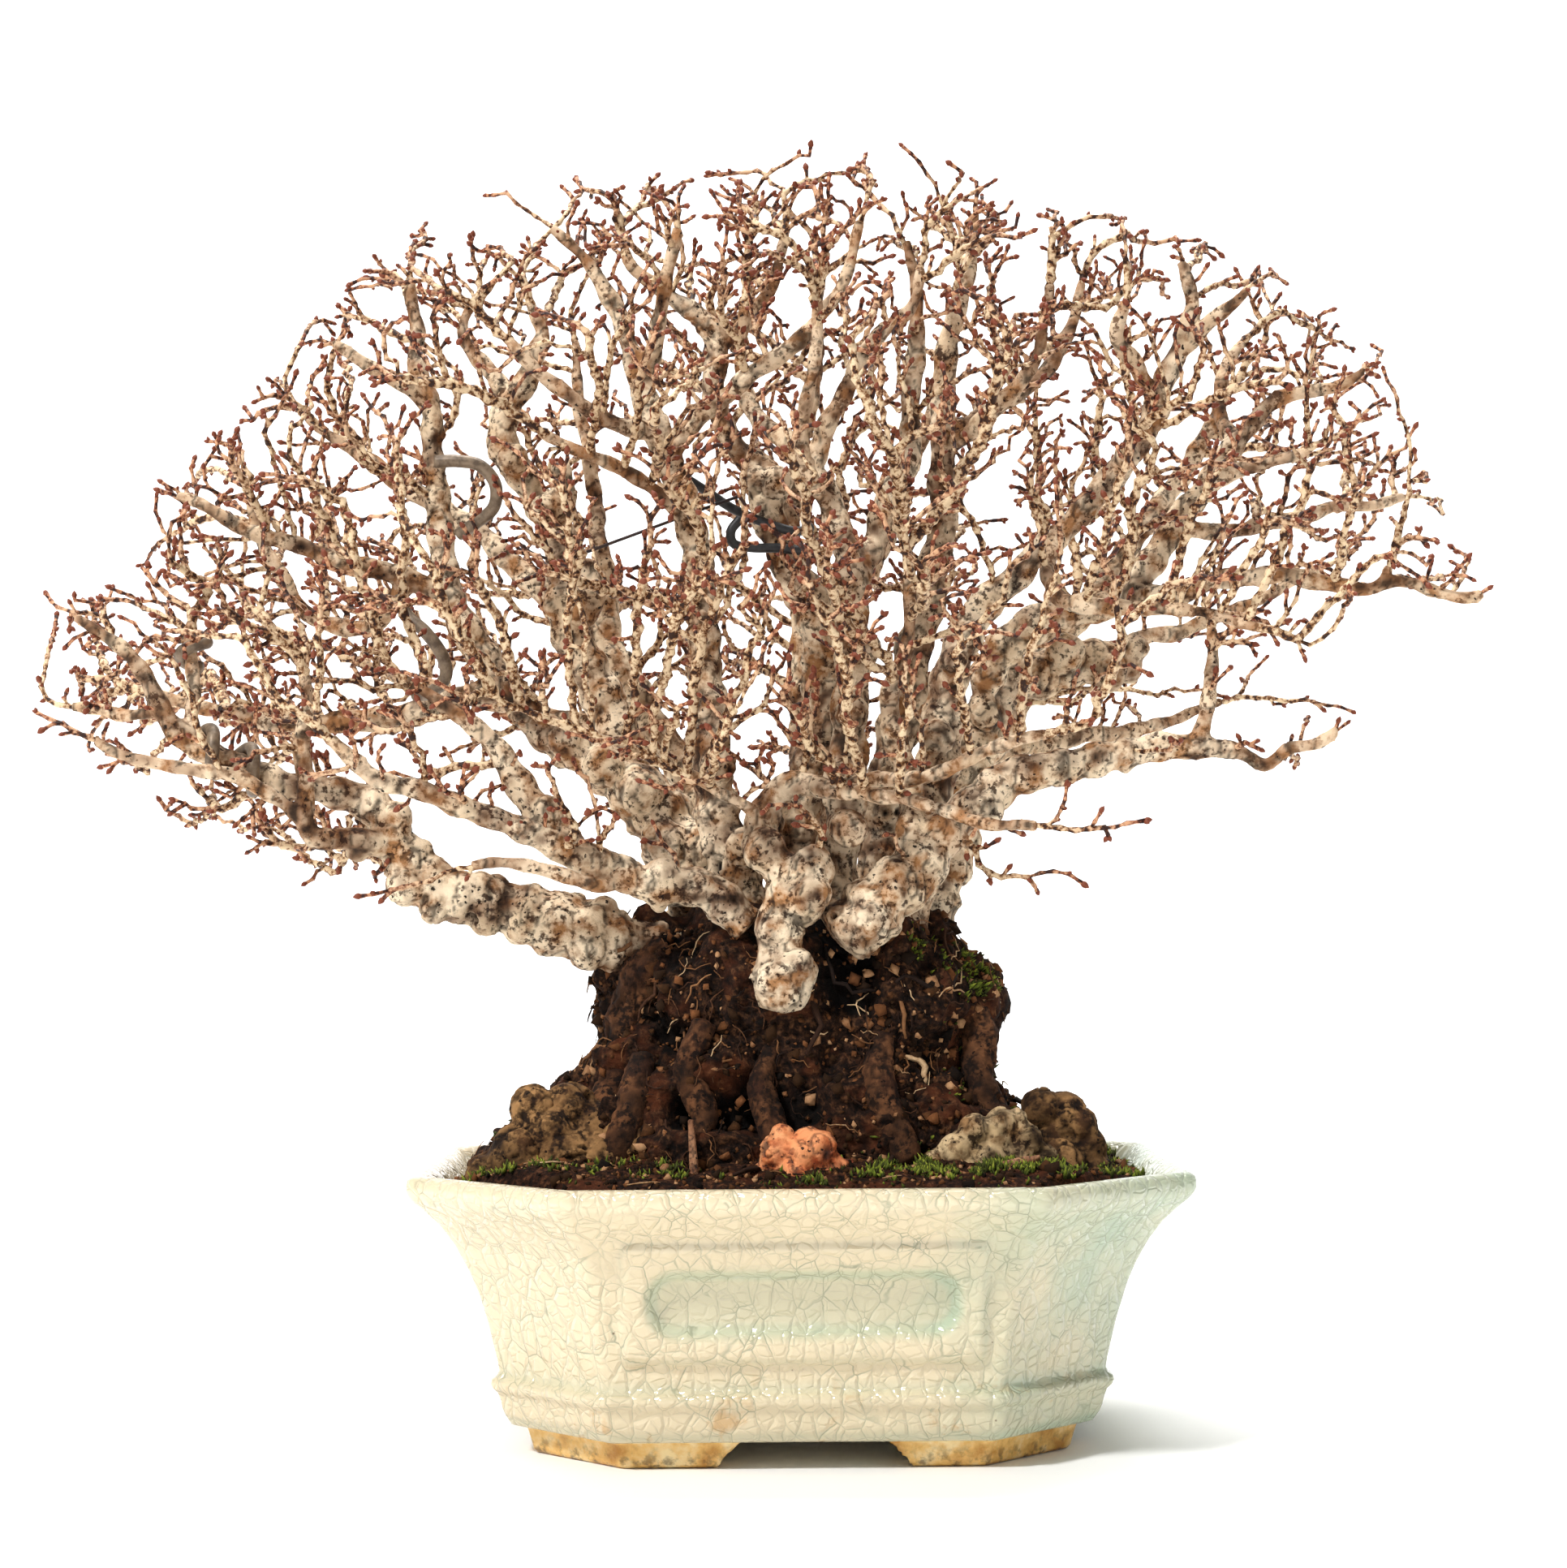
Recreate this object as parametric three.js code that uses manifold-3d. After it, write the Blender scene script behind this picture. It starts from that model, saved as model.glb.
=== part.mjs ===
// Clump-style bonsai on a dark root mound in a shallow octagonal glazed pot.
// Units are millimetres, +Z is up, +X is the viewer's right and -Y faces the viewer.
import * as THREE from 'three';
import { mergeVertices } from 'three/addons/utils/BufferGeometryUtils.js';
import Module from 'manifold-3d';

const wasm = await Module();
wasm.setup();

// ---------------------------------------------------------------- sizes

const GAP = 0.3; // clearance left between pieces that touch

const POT = {
  halfWidth: 115,
  halfDepth: 98,
  chamferX: 48, // run of the cut corner along X
  chamferY: 47, // run of the cut corner along Y
  height: 82.5,
  wall: 8,
  floorZ: 16, // top of the pot floor
  footHeight: 9,
  footWidth: 13, // width of the ring of feet, outside to inside
  gapHalfTop: 22, // half width of the gap between two front feet
  gapHalfFloor: 27,
};

// Outside of the pot from the lip down: [inset from the rim, height].
const POT_PROFILE = [
  [1.5, POT.height],
  [0, POT.height - 1.5],
  [0, 77.5],
  [3, 75.5],
  [10, 67],
  [18, 55.5],
  [23, 44],
  [26.5, 30],
  [28.5, 23.5],
  [26.8, 22],
  [26.8, 18],
  [29, 16.5],
  [31, 10],
  [36, 0],
];

// Inside of the pot from the floor up to the lip, as [inset, height].
const POT_INSIDE = [
  [37.5, POT.floorZ],
  [32.5, 30],
  [30, 44],
  [25, 55.5],
  [18, 67],
  [POT.wall, 77.5],
];

const DRAIN = { x: 38, radius: 10, sides: 16 };
const MESH = { side: 24, thick: 1, cells: 3, bar: 1.6 };
const MESH_PITCH = (MESH.side - MESH.bar) / MESH.cells;
const CLIP_WIRE = 1.6;

const SOIL_TOP = 75; // soil level where it meets the pot wall

// Sunk panel with cut corners on the front and the back of the pot. The wall
// leans out by `lean` for every millimetre of height behind it.
const PANEL = { halfWidth: 46, halfHeight: 10, corner: 5, midZ: 49, inset: 21.8, lean: 0.45 };

// Root mound, bottom to top: [height, left x, right x, front y, back y].
const MOUND_SECTIONS = [
  [72, -100, 90, -60, 66],
  [80, -99, 88, -60, 66],
  [90, -90, 80, -56, 62],
  [101, -80, 68, -51, 58],
  [110, -66, 56, -47, 54],
  [121, -61, 54, -44, 52],
  [131, -62, 56, -44, 52],
  [141, -62, 51, -45, 53],
  [150, -52, 49, -42, 50],
  [158, -40, 41, -34, 42],
];

// Rounded root knobs standing on the foot of the mound: [x, y, z, rx, ry, rz].
const KNOBS = {
  root_knob_left: [-80, -38, 94, 13, 13, 17],
  root_knob_right: [56, -50, 90, 9, 9, 14],
  root_knob_dark: [75, -30, 92, 10, 12, 16],
};

// Moss cushions: [x, y, z, rx, ry, rz].
const MOSS = {
  moss_front_right: [38, -68, 82, 22, 7, 4.5],
  moss_front_left: [-80, -60, 80, 12, 6, 4.5],
  moss_right: [89, -42, 80, 7, 8, 4],
  moss_on_mound: [54, -8, 137, 4.5, 13, 9],
};

// Trunks. Every stem has its own root end in the mound and its own branches,
// so each trunk with all of its branches is one solid.
// A branch is a route of [x, y, z, radius] stations; routes after the first
// start inside an earlier route. `spurs` is how many side shoots the main
// route carries in depth.
const TRUNKS = [
  {
    name: 'trunk_low_left',
    spurs: 4,
    routes: [
      [[-37.5, -12, 146, 8], [-54.5, -14, 150, 9.5], [-71, -15, 154, 9.5], [-88.5, -16, 161, 8.5],
        [-104, -17, 165, 8], [-116, -18, 171, 7.5], [-123.5, -20, 182.5, 6.3], [-131, -22, 192, 5.4],
        [-143.5, -24, 196, 4.8], [-157.5, -27, 199.5, 4.2], [-172.5, -30, 205.5, 4], [-183.5, -32, 212, 3.7],
        [-190, -34, 222.5, 3.2], [-196, -36, 233, 2.5], [-207, -38, 241.5, 2], [-221, -40, 251.5, 1.3]],
      [[-119.5, -19, 176.5, 4], [-133, -28, 181.5, 4.2], [-144.5, -34, 182, 3.4], [-146.5, -36, 194.5, 3],
        [-146, -38, 208, 2.8], [-144.5, -40, 220, 2.4], [-146.5, -42, 232.5, 1.6]],
      [[-144.5, -34, 184, 2], [-155.5, -38, 193.5, 2.2], [-168, -42, 200, 2.2], [-188.5, -45, 203.5, 2],
        [-201.5, -47, 208, 1.7], [-212, -49, 212, 1.5], [-223, -50, 217.5, 1.2]],
      [[-189, -34, 219.5, 2], [-201.5, -30, 219, 1.9], [-215.5, -27, 221, 1.6], [-228.5, -25, 224, 1.1]],
      [[-182.5, -32, 212, 2.4], [-181, -26, 224, 2.2], [-182.5, -22, 236, 2], [-183, -20, 248, 1.7],
        [-178.5, -18, 260, 1.2]],
    ],
  },
  {
    name: 'trunk_second_left',
    spurs: 3,
    routes: [
      [[-16, -36, 155, 6], [-25.5, -38, 164, 6], [-38.5, -41, 166.5, 5.5], [-54, -44, 170.5, 5],
        [-65, -47, 176, 4.6], [-78, -50, 182.5, 4], [-92.5, -54, 188, 3.6], [-105.5, -58, 192.5, 3.2],
        [-118, -62, 196, 2.8], [-128.5, -65, 202.5, 2.3], [-136.5, -68, 211.5, 1.4]],
      [[-63, -46, 175, 4], [-72, -44, 184.5, 5], [-82.5, -43, 196, 4.6], [-89, -43, 206.5, 3.2],
        [-97.5, -44, 216, 2.6], [-110.5, -46, 223.5, 2], [-121.5, -48, 232, 1.3]],
      [[-48, -43, 168.5, 2.2], [-59, -50, 166.5, 2.2], [-72, -55, 171, 2.1], [-86.5, -60, 173, 1.8],
        [-101, -64, 170, 1.5], [-113.5, -67, 166.5, 1.3], [-124.5, -69, 164.5, 1]],
    ],
  },
  {
    name: 'trunk_left_main',
    spurs: 5,
    routes: [
      [[-26, 6, 150, 9.5], [-32, 6, 170, 10.5], [-43, 5, 187, 10], [-53, 4, 199, 8.2],
        [-66, 4, 208, 7], [-79.5, 4, 216.5, 6], [-90.5, 5, 228.5, 5.6], [-99.5, 6, 241.5, 5.2],
        [-107.5, 6, 255.5, 4.8], [-110.5, 6, 271, 4.4], [-111.5, 6, 286, 4], [-113.5, 5, 301, 3.7],
        [-113.5, 4, 315.5, 3.4], [-117.5, 3, 330.5, 3], [-119, 2, 348.5, 2.3], [-119, 0, 366, 1.3]],
      [[-90.5, 6, 228.5, 4], [-105, 9, 225.5, 4], [-121.5, 12, 222, 4], [-138, 14, 220, 3.6],
        [-152.5, 16, 218, 3.2], [-168, 18, 220, 2.6], [-185, 20, 223.5, 2.2], [-200.5, 22, 227.5, 1.8],
        [-217.5, 24, 234, 1.2]],
      [[-107.5, 6, 256.5, 3.6], [-121.5, 3, 262.5, 3.5], [-136, 1, 267, 3.1], [-152, -1, 272, 2.9],
        [-167.5, -3, 276.5, 2.5], [-184, -5, 284.5, 1.9], [-198.5, -6, 291, 1.2]],
      [[-111.5, 6, 285, 2.6], [-123.5, 12, 294, 2.5], [-137.5, 18, 303, 2.1], [-150.5, 23, 312, 1.8],
        [-162.5, 27, 325, 1.2]],
      [[-114.5, 4, 317.5, 3], [-122.5, -2, 324.5, 2.6], [-134, -6, 330, 2], [-144.5, -9, 336, 1.2]],
      [[-121.5, 3, 261.5, 3], [-132.5, 10, 249, 2.8], [-145, 14, 249.5, 2.8], [-156.5, 16, 255.5, 2.6],
        [-164, 18, 268, 2.3], [-171.5, 19, 281.5, 1.8], [-174.5, 20, 298, 1.2]],
    ],
  },
  {
    name: 'trunk_left_dark',
    spurs: 4,
    routes: [
      [[-24.5, 32, 149.5, 8], [-39, 31, 180.5, 7.8], [-51.5, 30, 206.5, 7.4], [-63.5, 29, 230.5, 7],
        [-72, 28, 249, 6.6], [-74, 27, 266, 6.2], [-76, 26, 281.5, 5.6], [-84, 25, 293.5, 5],
        [-92, 24, 307, 4.8], [-91, 23, 319, 4.4], [-86, 22, 330, 3.6], [-80.5, 21, 344.5, 2.4],
        [-85.5, 20, 360.5, 1.3]],
      [[-90, 23, 322, 3.2], [-98.5, 26, 333, 2.8], [-106, 28, 345, 2.1], [-101, 30, 359.5, 1.3]],
      [[-72, 28, 250, 4.6], [-65, 20, 258, 4.6], [-66, 18, 270, 3.8]],
      [[-76, 26, 282.5, 4.2], [-73.5, 20, 292, 4.2], [-75, 17, 301.5, 2.6]],
    ],
  },
  {
    name: 'trunk_centre_left',
    spurs: 5,
    routes: [
      [[-14, -13, 150, 8], [-20, -13, 172, 8], [-25, -13, 194.5, 6.8], [-27, -13, 219, 6],
        [-28, -13, 243.5, 5.2], [-29, -13, 260.5, 5], [-31.5, -13, 276, 4.8], [-36.5, -13, 290, 4.8],
        [-41.5, -14, 303.5, 4.5], [-46.5, -15, 317, 3.9], [-51.5, -16, 332, 3.3], [-57, -17, 346.5, 2.6],
        [-65, -18, 360, 2], [-77.5, -19, 369.5, 1.6], [-90, -20, 380, 1.1]],
      [[-39.5, -14, 297.5, 3], [-28.5, -18, 309, 3], [-18, -21, 317, 2.8], [-7, -24, 326.5, 2.7],
        [4.5, -27, 335.5, 2.3], [14, -29, 346.5, 1.9], [19, -30, 363, 1.6], [23.5, -31, 380, 1.2]],
      [[-42.5, -14, 305.5, 3], [-53, -22, 306, 2.9], [-63.5, -26, 310.5, 2.6], [-74, -29, 318.5, 2.3],
        [-81.5, -31, 325, 1.9], [-90, -33, 333, 1.6], [-97.5, -35, 341.5, 1.1]],
      [[-32.5, -13, 278, 2.6], [-42, -22, 285, 2.5], [-52.5, -28, 291.5, 2.3], [-64, -33, 295.5, 1.9],
        [-75, -37, 300, 1.6], [-83.5, -40, 306, 1.1]],
      [[-46.5, -15, 318, 3], [-43.5, -20, 331, 2.8], [-40, -24, 345, 2.3], [-37, -27, 360.5, 1.8],
        [-35, -30, 376.5, 1.2]],
    ],
  },
  {
    name: 'trunk_centre_dark',
    spurs: 4,
    routes: [
      [[-4, 16, 150, 8], [0, 16, 178.5, 7.6], [5.5, 15, 206, 7], [9.5, 14, 231, 6.5],
        [7.5, 13, 251.5, 6.4], [-2, 12, 267.5, 5.8], [-7, 12, 281.5, 5.4], [-9, 12, 294, 6],
        [-16, 11, 302, 4], [-22, 10, 312.5, 3.8], [-25, 9, 324.5, 4.2], [-24, 8, 336.5, 3.8],
        [-31, 6, 347.5, 3], [-43, 4, 354, 2.3], [-51, 2, 362.5, 1.8], [-54, 0, 379, 1.2]],
      [[-24, 8, 336.5, 2.8], [-15, 12, 345.5, 2.5], [-6, 15, 356.5, 2.1], [-3, 17, 373, 1.7],
        [-2, 19, 390, 1.2]],
    ],
  },
  {
    name: 'trunk_centre_pale',
    spurs: 5,
    routes: [
      [[8.5, -14, 150, 7.6], [13.5, -14, 179.5, 7], [16.5, -13, 209, 6], [16.5, -13, 237, 5.4],
        [16.5, -13, 256.5, 5], [15.5, -13, 270.5, 4.6], [10.5, -13, 283, 4.3], [3.5, -13, 295, 4],
        [-4, -13, 304, 3.4], [-13, -2, 313.5, 2.8], [-17, 2, 327.5, 2], [-16, 4, 346, 1.6],
        [-13, 5, 377, 1.1]],
      [[4.5, -13, 294, 3], [9.5, -17, 306, 3], [15.5, -20, 316.5, 3], [21, -22, 327.5, 2.8],
        [28, -24, 336, 2.4], [36.5, -26, 342.5, 1.9], [38.5, -28, 355.5, 1.5], [39, -29, 370.5, 1.1]],
      [[16.5, -13, 257.5, 4.8], [23.5, -7, 272, 4.6], [29, -4, 286.5, 4.2], [35, -3, 300.5, 3.8],
        [36, -3, 317.5, 3.4], [38, -4, 334, 3], [38.5, -5, 349, 2.3], [35.5, -6, 366.5, 1.6]],
      [[10.5, -14, 282, 2.8], [3.5, -24, 292, 2.6], [1.5, -30, 305, 2.3], [5, -35, 319.5, 2],
        [7, -40, 335.5, 1.7], [8, -43, 355, 1.4], [10, -45, 379, 1.1]],
    ],
  },
  {
    name: 'trunk_centre_right',
    spurs: 5,
    routes: [
      [[19.5, 14, 150, 7.6], [26.5, 14, 180.5, 7.2], [31.5, 14, 209, 6.8], [37, 14, 236, 6.2],
        [43, 14, 259.5, 5.7], [46, 15, 282, 5.2], [47, 15, 305.5, 4.6], [48, 15, 328, 3.9],
        [51, 15, 345, 3.1], [55, 15, 360.5, 2.4], [58, 15, 374.5, 1.8], [59, 15, 390, 1.2]],
      [[47, 15, 306.5, 3.2], [57.5, 19, 314.5, 3], [70, 23, 322, 2.9], [81.5, 26, 332, 2.7],
        [89.5, 29, 345, 2.3], [93.5, 31, 358, 1.9], [99, 33, 376, 1.2]],
      [[52, 15, 349, 1.8], [51.5, 9, 360, 1.5], [49.5, 5, 374, 1.3], [43, 2, 388.5, 1.1],
        [34, 0, 398, 0.9]],
      [[47, 15, 305.5, 3], [57.5, 7, 311, 2.8], [70, 2, 322.5, 2.5], [77, -2, 336.5, 2.1],
        [79.5, -5, 351, 1.7], [80, -8, 369, 1.1]],
    ],
  },
  {
    name: 'trunk_right_leaning',
    spurs: 5,
    routes: [
      [[31.5, -12, 150, 7.6], [37.5, -12, 177.5, 7.2], [43, -12, 204.5, 6.8], [47, -12, 229, 6.2],
        [53, -12, 245, 5.6], [61, -13, 254.5, 5], [70.5, -14, 263.5, 4.4], [79.5, -15, 272, 4],
        [88, -16, 280.5, 4], [97, -17, 290.5, 4.4], [104.5, -18, 301, 4.4], [110.5, -19, 313.5, 4],
        [116, -20, 326, 3.4], [120.5, -21, 338.5, 2.8], [120.5, -22, 350, 2.2], [116.5, -23, 359.5, 1.3]],
      [[111, -19, 314.5, 3], [104.5, -26, 323, 2.6], [97, -31, 331.5, 2.2], [100.5, -35, 342.5, 1.7],
        [100, -38, 357, 1.2]],
      [[117, -20, 328, 2.7], [125.5, -26, 336.5, 2.4], [133.5, -31, 343, 1.9], [140.5, -35, 348, 1.2]],
      [[79.5, -15, 272, 2.8], [76.5, -24, 261, 2.7], [78.5, -32, 252.5, 2.6], [90.5, -38, 249, 2.5],
        [106, -43, 247.5, 2.2], [122.5, -47, 245, 1.8], [139, -50, 240, 1.5], [152.5, -52, 235, 1]],
    ],
  },
  {
    name: 'trunk_right_spreading',
    spurs: 5,
    routes: [
      [[41, 14, 150, 8], [48, 15, 175.5, 8.4], [53, 16, 196.5, 8], [58.5, 17, 215, 7.8],
        [67.5, 18, 228.5, 7.6], [81, 19, 234.5, 7.4], [95.5, 20, 238, 7], [109, 21, 237, 5.6]],
      [[58.5, 17, 216, 6], [63, 10, 237, 6], [75, 8, 248, 5.8], [89, 8, 253, 5.4],
        [103, 8, 256, 5], [112, 8, 268, 4.5], [120, 8, 280, 4.2], [129.5, 8, 292, 3.9],
        [138.5, 8, 304.5, 3.5], [148.5, 8, 315.5, 2.9], [160.5, 8, 321.5, 2.3], [172.5, 7, 324.5, 1.9],
        [184.5, 6, 331, 1.2]],
      [[102, 8, 256, 3.6], [116.5, 2, 257, 3.4], [131.5, -2, 260, 3.2], [147, -5, 262.5, 3],
        [162.5, -8, 259, 2.7], [176, -10, 257, 2.4], [186, -12, 259.5, 2.1], [196.5, -14, 255.5, 1.9],
        [206, -15, 253.5, 1.7], [214, -16, 256, 1.3]],
      [[120, 8, 279, 3], [134, 13, 277.5, 2.8], [149, 17, 280.5, 2.5], [165, 20, 285, 2.3],
        [182, 22, 287, 1.9], [195.5, 24, 290.5, 1.6], [206, 25, 289.5, 1.1]],
      [[130.5, 8, 293, 3], [142.5, 2, 297.5, 2.6], [155.5, -2, 298.5, 1.9], [169, -5, 305, 1.1]],
      [[139.5, 8, 305.5, 2.8], [135.5, 16, 317, 2.5], [138.5, 22, 330, 2.1], [145.5, 26, 341.5, 1.6],
        [154.5, 29, 351, 1.1]],
      [[180.5, -11, 258.5, 1.6], [185, -14, 270, 1.5], [187.5, -16, 284.5, 1.4], [189, -17, 299, 1.1],
        [186, -18, 307, 0.9]],
    ],
  },
  {
    name: 'trunk_low_right',
    spurs: 3,
    routes: [
      [[11.5, -42, 150.5, 9.5], [18.5, -42, 157, 10], [30, -40, 166.5, 8.6], [40.5, -37, 177, 7],
        [48.5, -35, 186, 6.2], [56, -34, 192.5, 6.2], [68, -33, 198.5, 5.8], [80.5, -32, 201.5, 5.2],
        [94, -31, 204.5, 4.8], [107.5, -30, 206.5, 4.3], [121.5, -29, 207.5, 3.7], [133, -29, 205.5, 2.6],
        [140.5, -29, 201.5, 2.2], [147.5, -30, 206.5, 2], [156.5, -31, 208, 1.8], [166, -32, 215, 1.1]],
      [[120.5, -29, 208.5, 2.8], [123.5, -27, 222, 2.3], [125, -25, 236, 1.9], [125, -24, 247.5, 1.2]],
      [[45.5, -36, 183, 2], [51, -42, 177, 1.7], [55.5, -45, 169.5, 1.5], [65.5, -47, 167.5, 1.3],
        [75, -48, 169.5, 1.1], [84, -49, 166.5, 0.9]],
      [[31, -40, 167.5, 5], [33, -36, 182, 4.6], [33, -34, 196.5, 4], [29.5, -34, 209, 3.6],
        [28, -36, 223.5, 3], [32, -39, 236.5, 2.5], [33.5, -42, 251.5, 2], [30.5, -45, 270, 1.3]],
    ],
  },
  {
    name: 'trunk_front',
    spurs: 0,
    routes: [
      [[-6.5, -47, 129.5, 6], [-6.5, -48, 134.5, 10.2], [-5.5, -48, 141, 10.8], [-5.5, -48, 148.5, 10.4],
        [-3.5, -48, 157, 8.2], [1, -47, 165.5, 8], [4, -47, 173, 6], [6, -49, 177, 3]],
      [[2, -47, 167.5, 6], [-9, -40, 174.5, 5.6], [-11, -35, 185, 5.2], [-5.5, -34, 193.5, 4.4],
        [3.5, -38, 195.5, 3.4], [10.5, -46, 194, 2.5], [23.5, -54, 192, 2.1], [38, -60, 188, 1.9],
        [52, -65, 184, 1.9], [67, -69, 182, 1.6], [83.5, -72, 182, 1.4], [97.5, -74, 184, 1.1]],
      [[2.5, -38, 195.5, 2.4], [13, -40, 196, 2.3], [26, -44, 197, 2.2], [39, -50, 198.5, 2.1],
        [50, -55, 203, 2], [61.5, -58, 207.5, 1.8], [73.5, -61, 210, 1.5], [83.5, -63, 213, 1.1]],
      [[-11, -36, 187, 2], [-23.5, -44, 195, 1.7], [-38.5, -50, 201.5, 1.5], [-54, -55, 208, 1.4],
        [-70.5, -60, 213, 1.2], [-86, -64, 219.5, 0.9]],
    ],
  },
  {
    name: 'trunk_back_left',
    spurs: 6,
    routes: [
      [[-12, 40, 149.5, 7], [-24.5, 48, 181, 6.4], [-39.5, 56, 211, 5.8], [-59, 62, 239.5, 5.2],
        [-81, 68, 263.5, 4.5], [-103, 72, 284.5, 3.7], [-127, 76, 302.5, 2.7], [-151.5, 79, 318, 1.4]],
      [[-59, 62, 239.5, 3.6], [-61.5, 70, 266, 3.4], [-66.5, 77, 295, 3], [-71, 84, 326.5, 2.4],
        [-75.5, 88, 362.5, 1.3]],
      [[-38.5, 56, 210, 3.6], [-63.5, 66, 220.5, 3.2], [-94.5, 75, 227.5, 2.7], [-128, 82, 236.5, 2.1],
        [-161.5, 88, 250.5, 1.2]],
    ],
  },
  {
    name: 'trunk_back_centre',
    spurs: 6,
    routes: [
      [[9, 40, 149.5, 7], [6, 50, 183.5, 6.4], [3, 58, 217.5, 5.8], [5.5, 66, 252.5, 5],
        [-1, 72, 285.5, 4.2], [3.5, 78, 319, 3.2], [10, 82, 355, 2.2], [8, 84, 392.5, 1.2]],
      [[4, 64, 244, 3.8], [25, 74, 270.5, 3.3], [38.5, 82, 302.5, 2.7], [50, 88, 338.5, 2],
        [59, 92, 376.5, 1.2]],
    ],
  },
  {
    name: 'trunk_back_right',
    spurs: 6,
    routes: [
      [[30, 38, 149.5, 7.4], [45, 46, 181, 6.8], [62.5, 54, 211, 6], [82.5, 62, 239.5, 5.2],
        [102.5, 68, 265.5, 4.4], [122.5, 73, 292.5, 3.5], [140.5, 77, 319, 2.5], [156, 80, 345.5, 1.2]],
      [[82.5, 62, 239.5, 3.6], [109.5, 72, 246.5, 3.2], [139, 80, 256, 2.6], [168.5, 87, 268, 1.9],
        [196, 92, 284, 1.1]],
      [[61.5, 54, 210, 3.6], [91, 64, 215, 3.1], [122.5, 73, 220.5, 2.4], [152, 80, 232, 1.2]],
    ],
  },
];

// Wires: diameter and the route they hold.
const BLACK_WIRE = 3;
const GUY_WIRE = 1;
const ALUMINIUM_WIRE = 4;

// ---------------------------------------------------------------- helpers

/** Turn a three.js geometry into a manifold solid. */
function solid(geometry) {
  const bare = geometry.clone();
  bare.deleteAttribute('normal');
  bare.deleteAttribute('uv');
  const merged = mergeVertices(bare, 1e-4);
  return new wasm.Manifold(new wasm.Mesh({
    numProp: 3,
    vertProperties: new Float32Array(merged.attributes.position.array),
    triVerts: new Uint32Array(merged.index.array),
  }));
}

/** Turn a manifold solid back into a flat-shaded three.js geometry. */
function geometryOf(body) {
  const mesh = body.getMesh();
  const indexed = new THREE.BufferGeometry();
  indexed.setAttribute('position', new THREE.BufferAttribute(new Float32Array(mesh.vertProperties), 3));
  indexed.setIndex(new THREE.BufferAttribute(new Uint32Array(mesh.triVerts), 1));
  const flat = indexed.toNonIndexed();
  flat.computeVertexNormals();
  return flat;
}

/** Keep the biggest body of a cut solid, so that every piece stays in one part. */
function biggest(body) {
  const parts = body.decompose();
  return parts.reduce((best, part) => (part.volume() > best.volume() ? part : best));
}

/** Close a stack of rings, each a list of Vector3, into one skin with two end fans. */
function loft(rings) {
  const sides = rings[0].length;
  const positions = [];
  const index = [];
  const centre = (ring) => ring
    .reduce((sum, point) => sum.add(point), new THREE.Vector3())
    .divideScalar(ring.length);
  rings.flat().forEach((point) => positions.push(point.x, point.y, point.z));
  for (let row = 0; row + 1 < rings.length; row += 1) {
    for (let side = 0; side < sides; side += 1) {
      const a = row * sides + side;
      const b = row * sides + (side + 1) % sides;
      index.push(a, b, a + sides, b, b + sides, a + sides);
    }
  }
  const first = rings.length * sides;
  [rings[0], rings.at(-1)].forEach((ring) => {
    const middle = centre(ring);
    positions.push(middle.x, middle.y, middle.z);
  });
  const top = (rings.length - 1) * sides;
  for (let side = 0; side < sides; side += 1) {
    const next = (side + 1) % sides;
    index.push(first, next, side);
    index.push(first + 1, top + side, top + next);
  }
  const geometry = new THREE.BufferGeometry();
  geometry.setAttribute('position', new THREE.Float32BufferAttribute(positions, 3));
  geometry.setIndex(index);
  return geometry;
}

/** A tapered round bar through stations [x, y, z, radius]. */
function bar(stations, sides, grow = 0) {
  const points = stations.map(([x, y, z]) => new THREE.Vector3(x, y, z));
  const across = new THREE.Vector3(0, 1, 0);
  const rings = points.map((point, k) => {
    const before = points[Math.max(k - 1, 0)];
    const after = points[Math.min(k + 1, points.length - 1)];
    const along = after.clone().sub(before).normalize();
    const u = across.clone().addScaledVector(along, -across.dot(along)).normalize();
    const v = along.clone().cross(u);
    across.copy(u);
    const radius = stations[k][3] + grow;
    const end = k === 0 ? -grow : (k === points.length - 1 ? grow : 0);
    return Array.from({ length: sides }, (_, side) => {
      const turn = (side / sides) * 2 * Math.PI;
      return point.clone()
        .addScaledVector(u, radius * Math.cos(turn))
        .addScaledVector(v, radius * Math.sin(turn))
        .addScaledVector(along, end);
    });
  });
  return loft(rings);
}

/** Outline of the pot moved in by `inset`, as eight corners at one height. */
function octagon(inset, z) {
  const w = POT.halfWidth - inset;
  const d = POT.halfDepth - inset;
  const cut = inset * (2 - Math.SQRT2);
  const cx = POT.chamferX - cut;
  const cy = POT.chamferY - cut;
  return [
    [w, -d + cy], [w, d - cy], [w - cx, d], [-w + cx, d],
    [-w, d - cy], [-w, -d + cy], [-w + cx, -d], [w - cx, -d],
  ].map(([x, y]) => new THREE.Vector3(x, y, z));
}

/** An octagonal solid through [inset, height] pairs listed from the bottom up. */
function octagonSolid(profile) {
  return solid(loft(profile.map(([inset, z]) => octagon(inset, z))));
}

/** A box given by its middle and its size. */
function box(x, y, z, sx, sy, sz) {
  return solid(new THREE.BoxGeometry(sx, sy, sz).translate(x, y, z));
}

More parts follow.
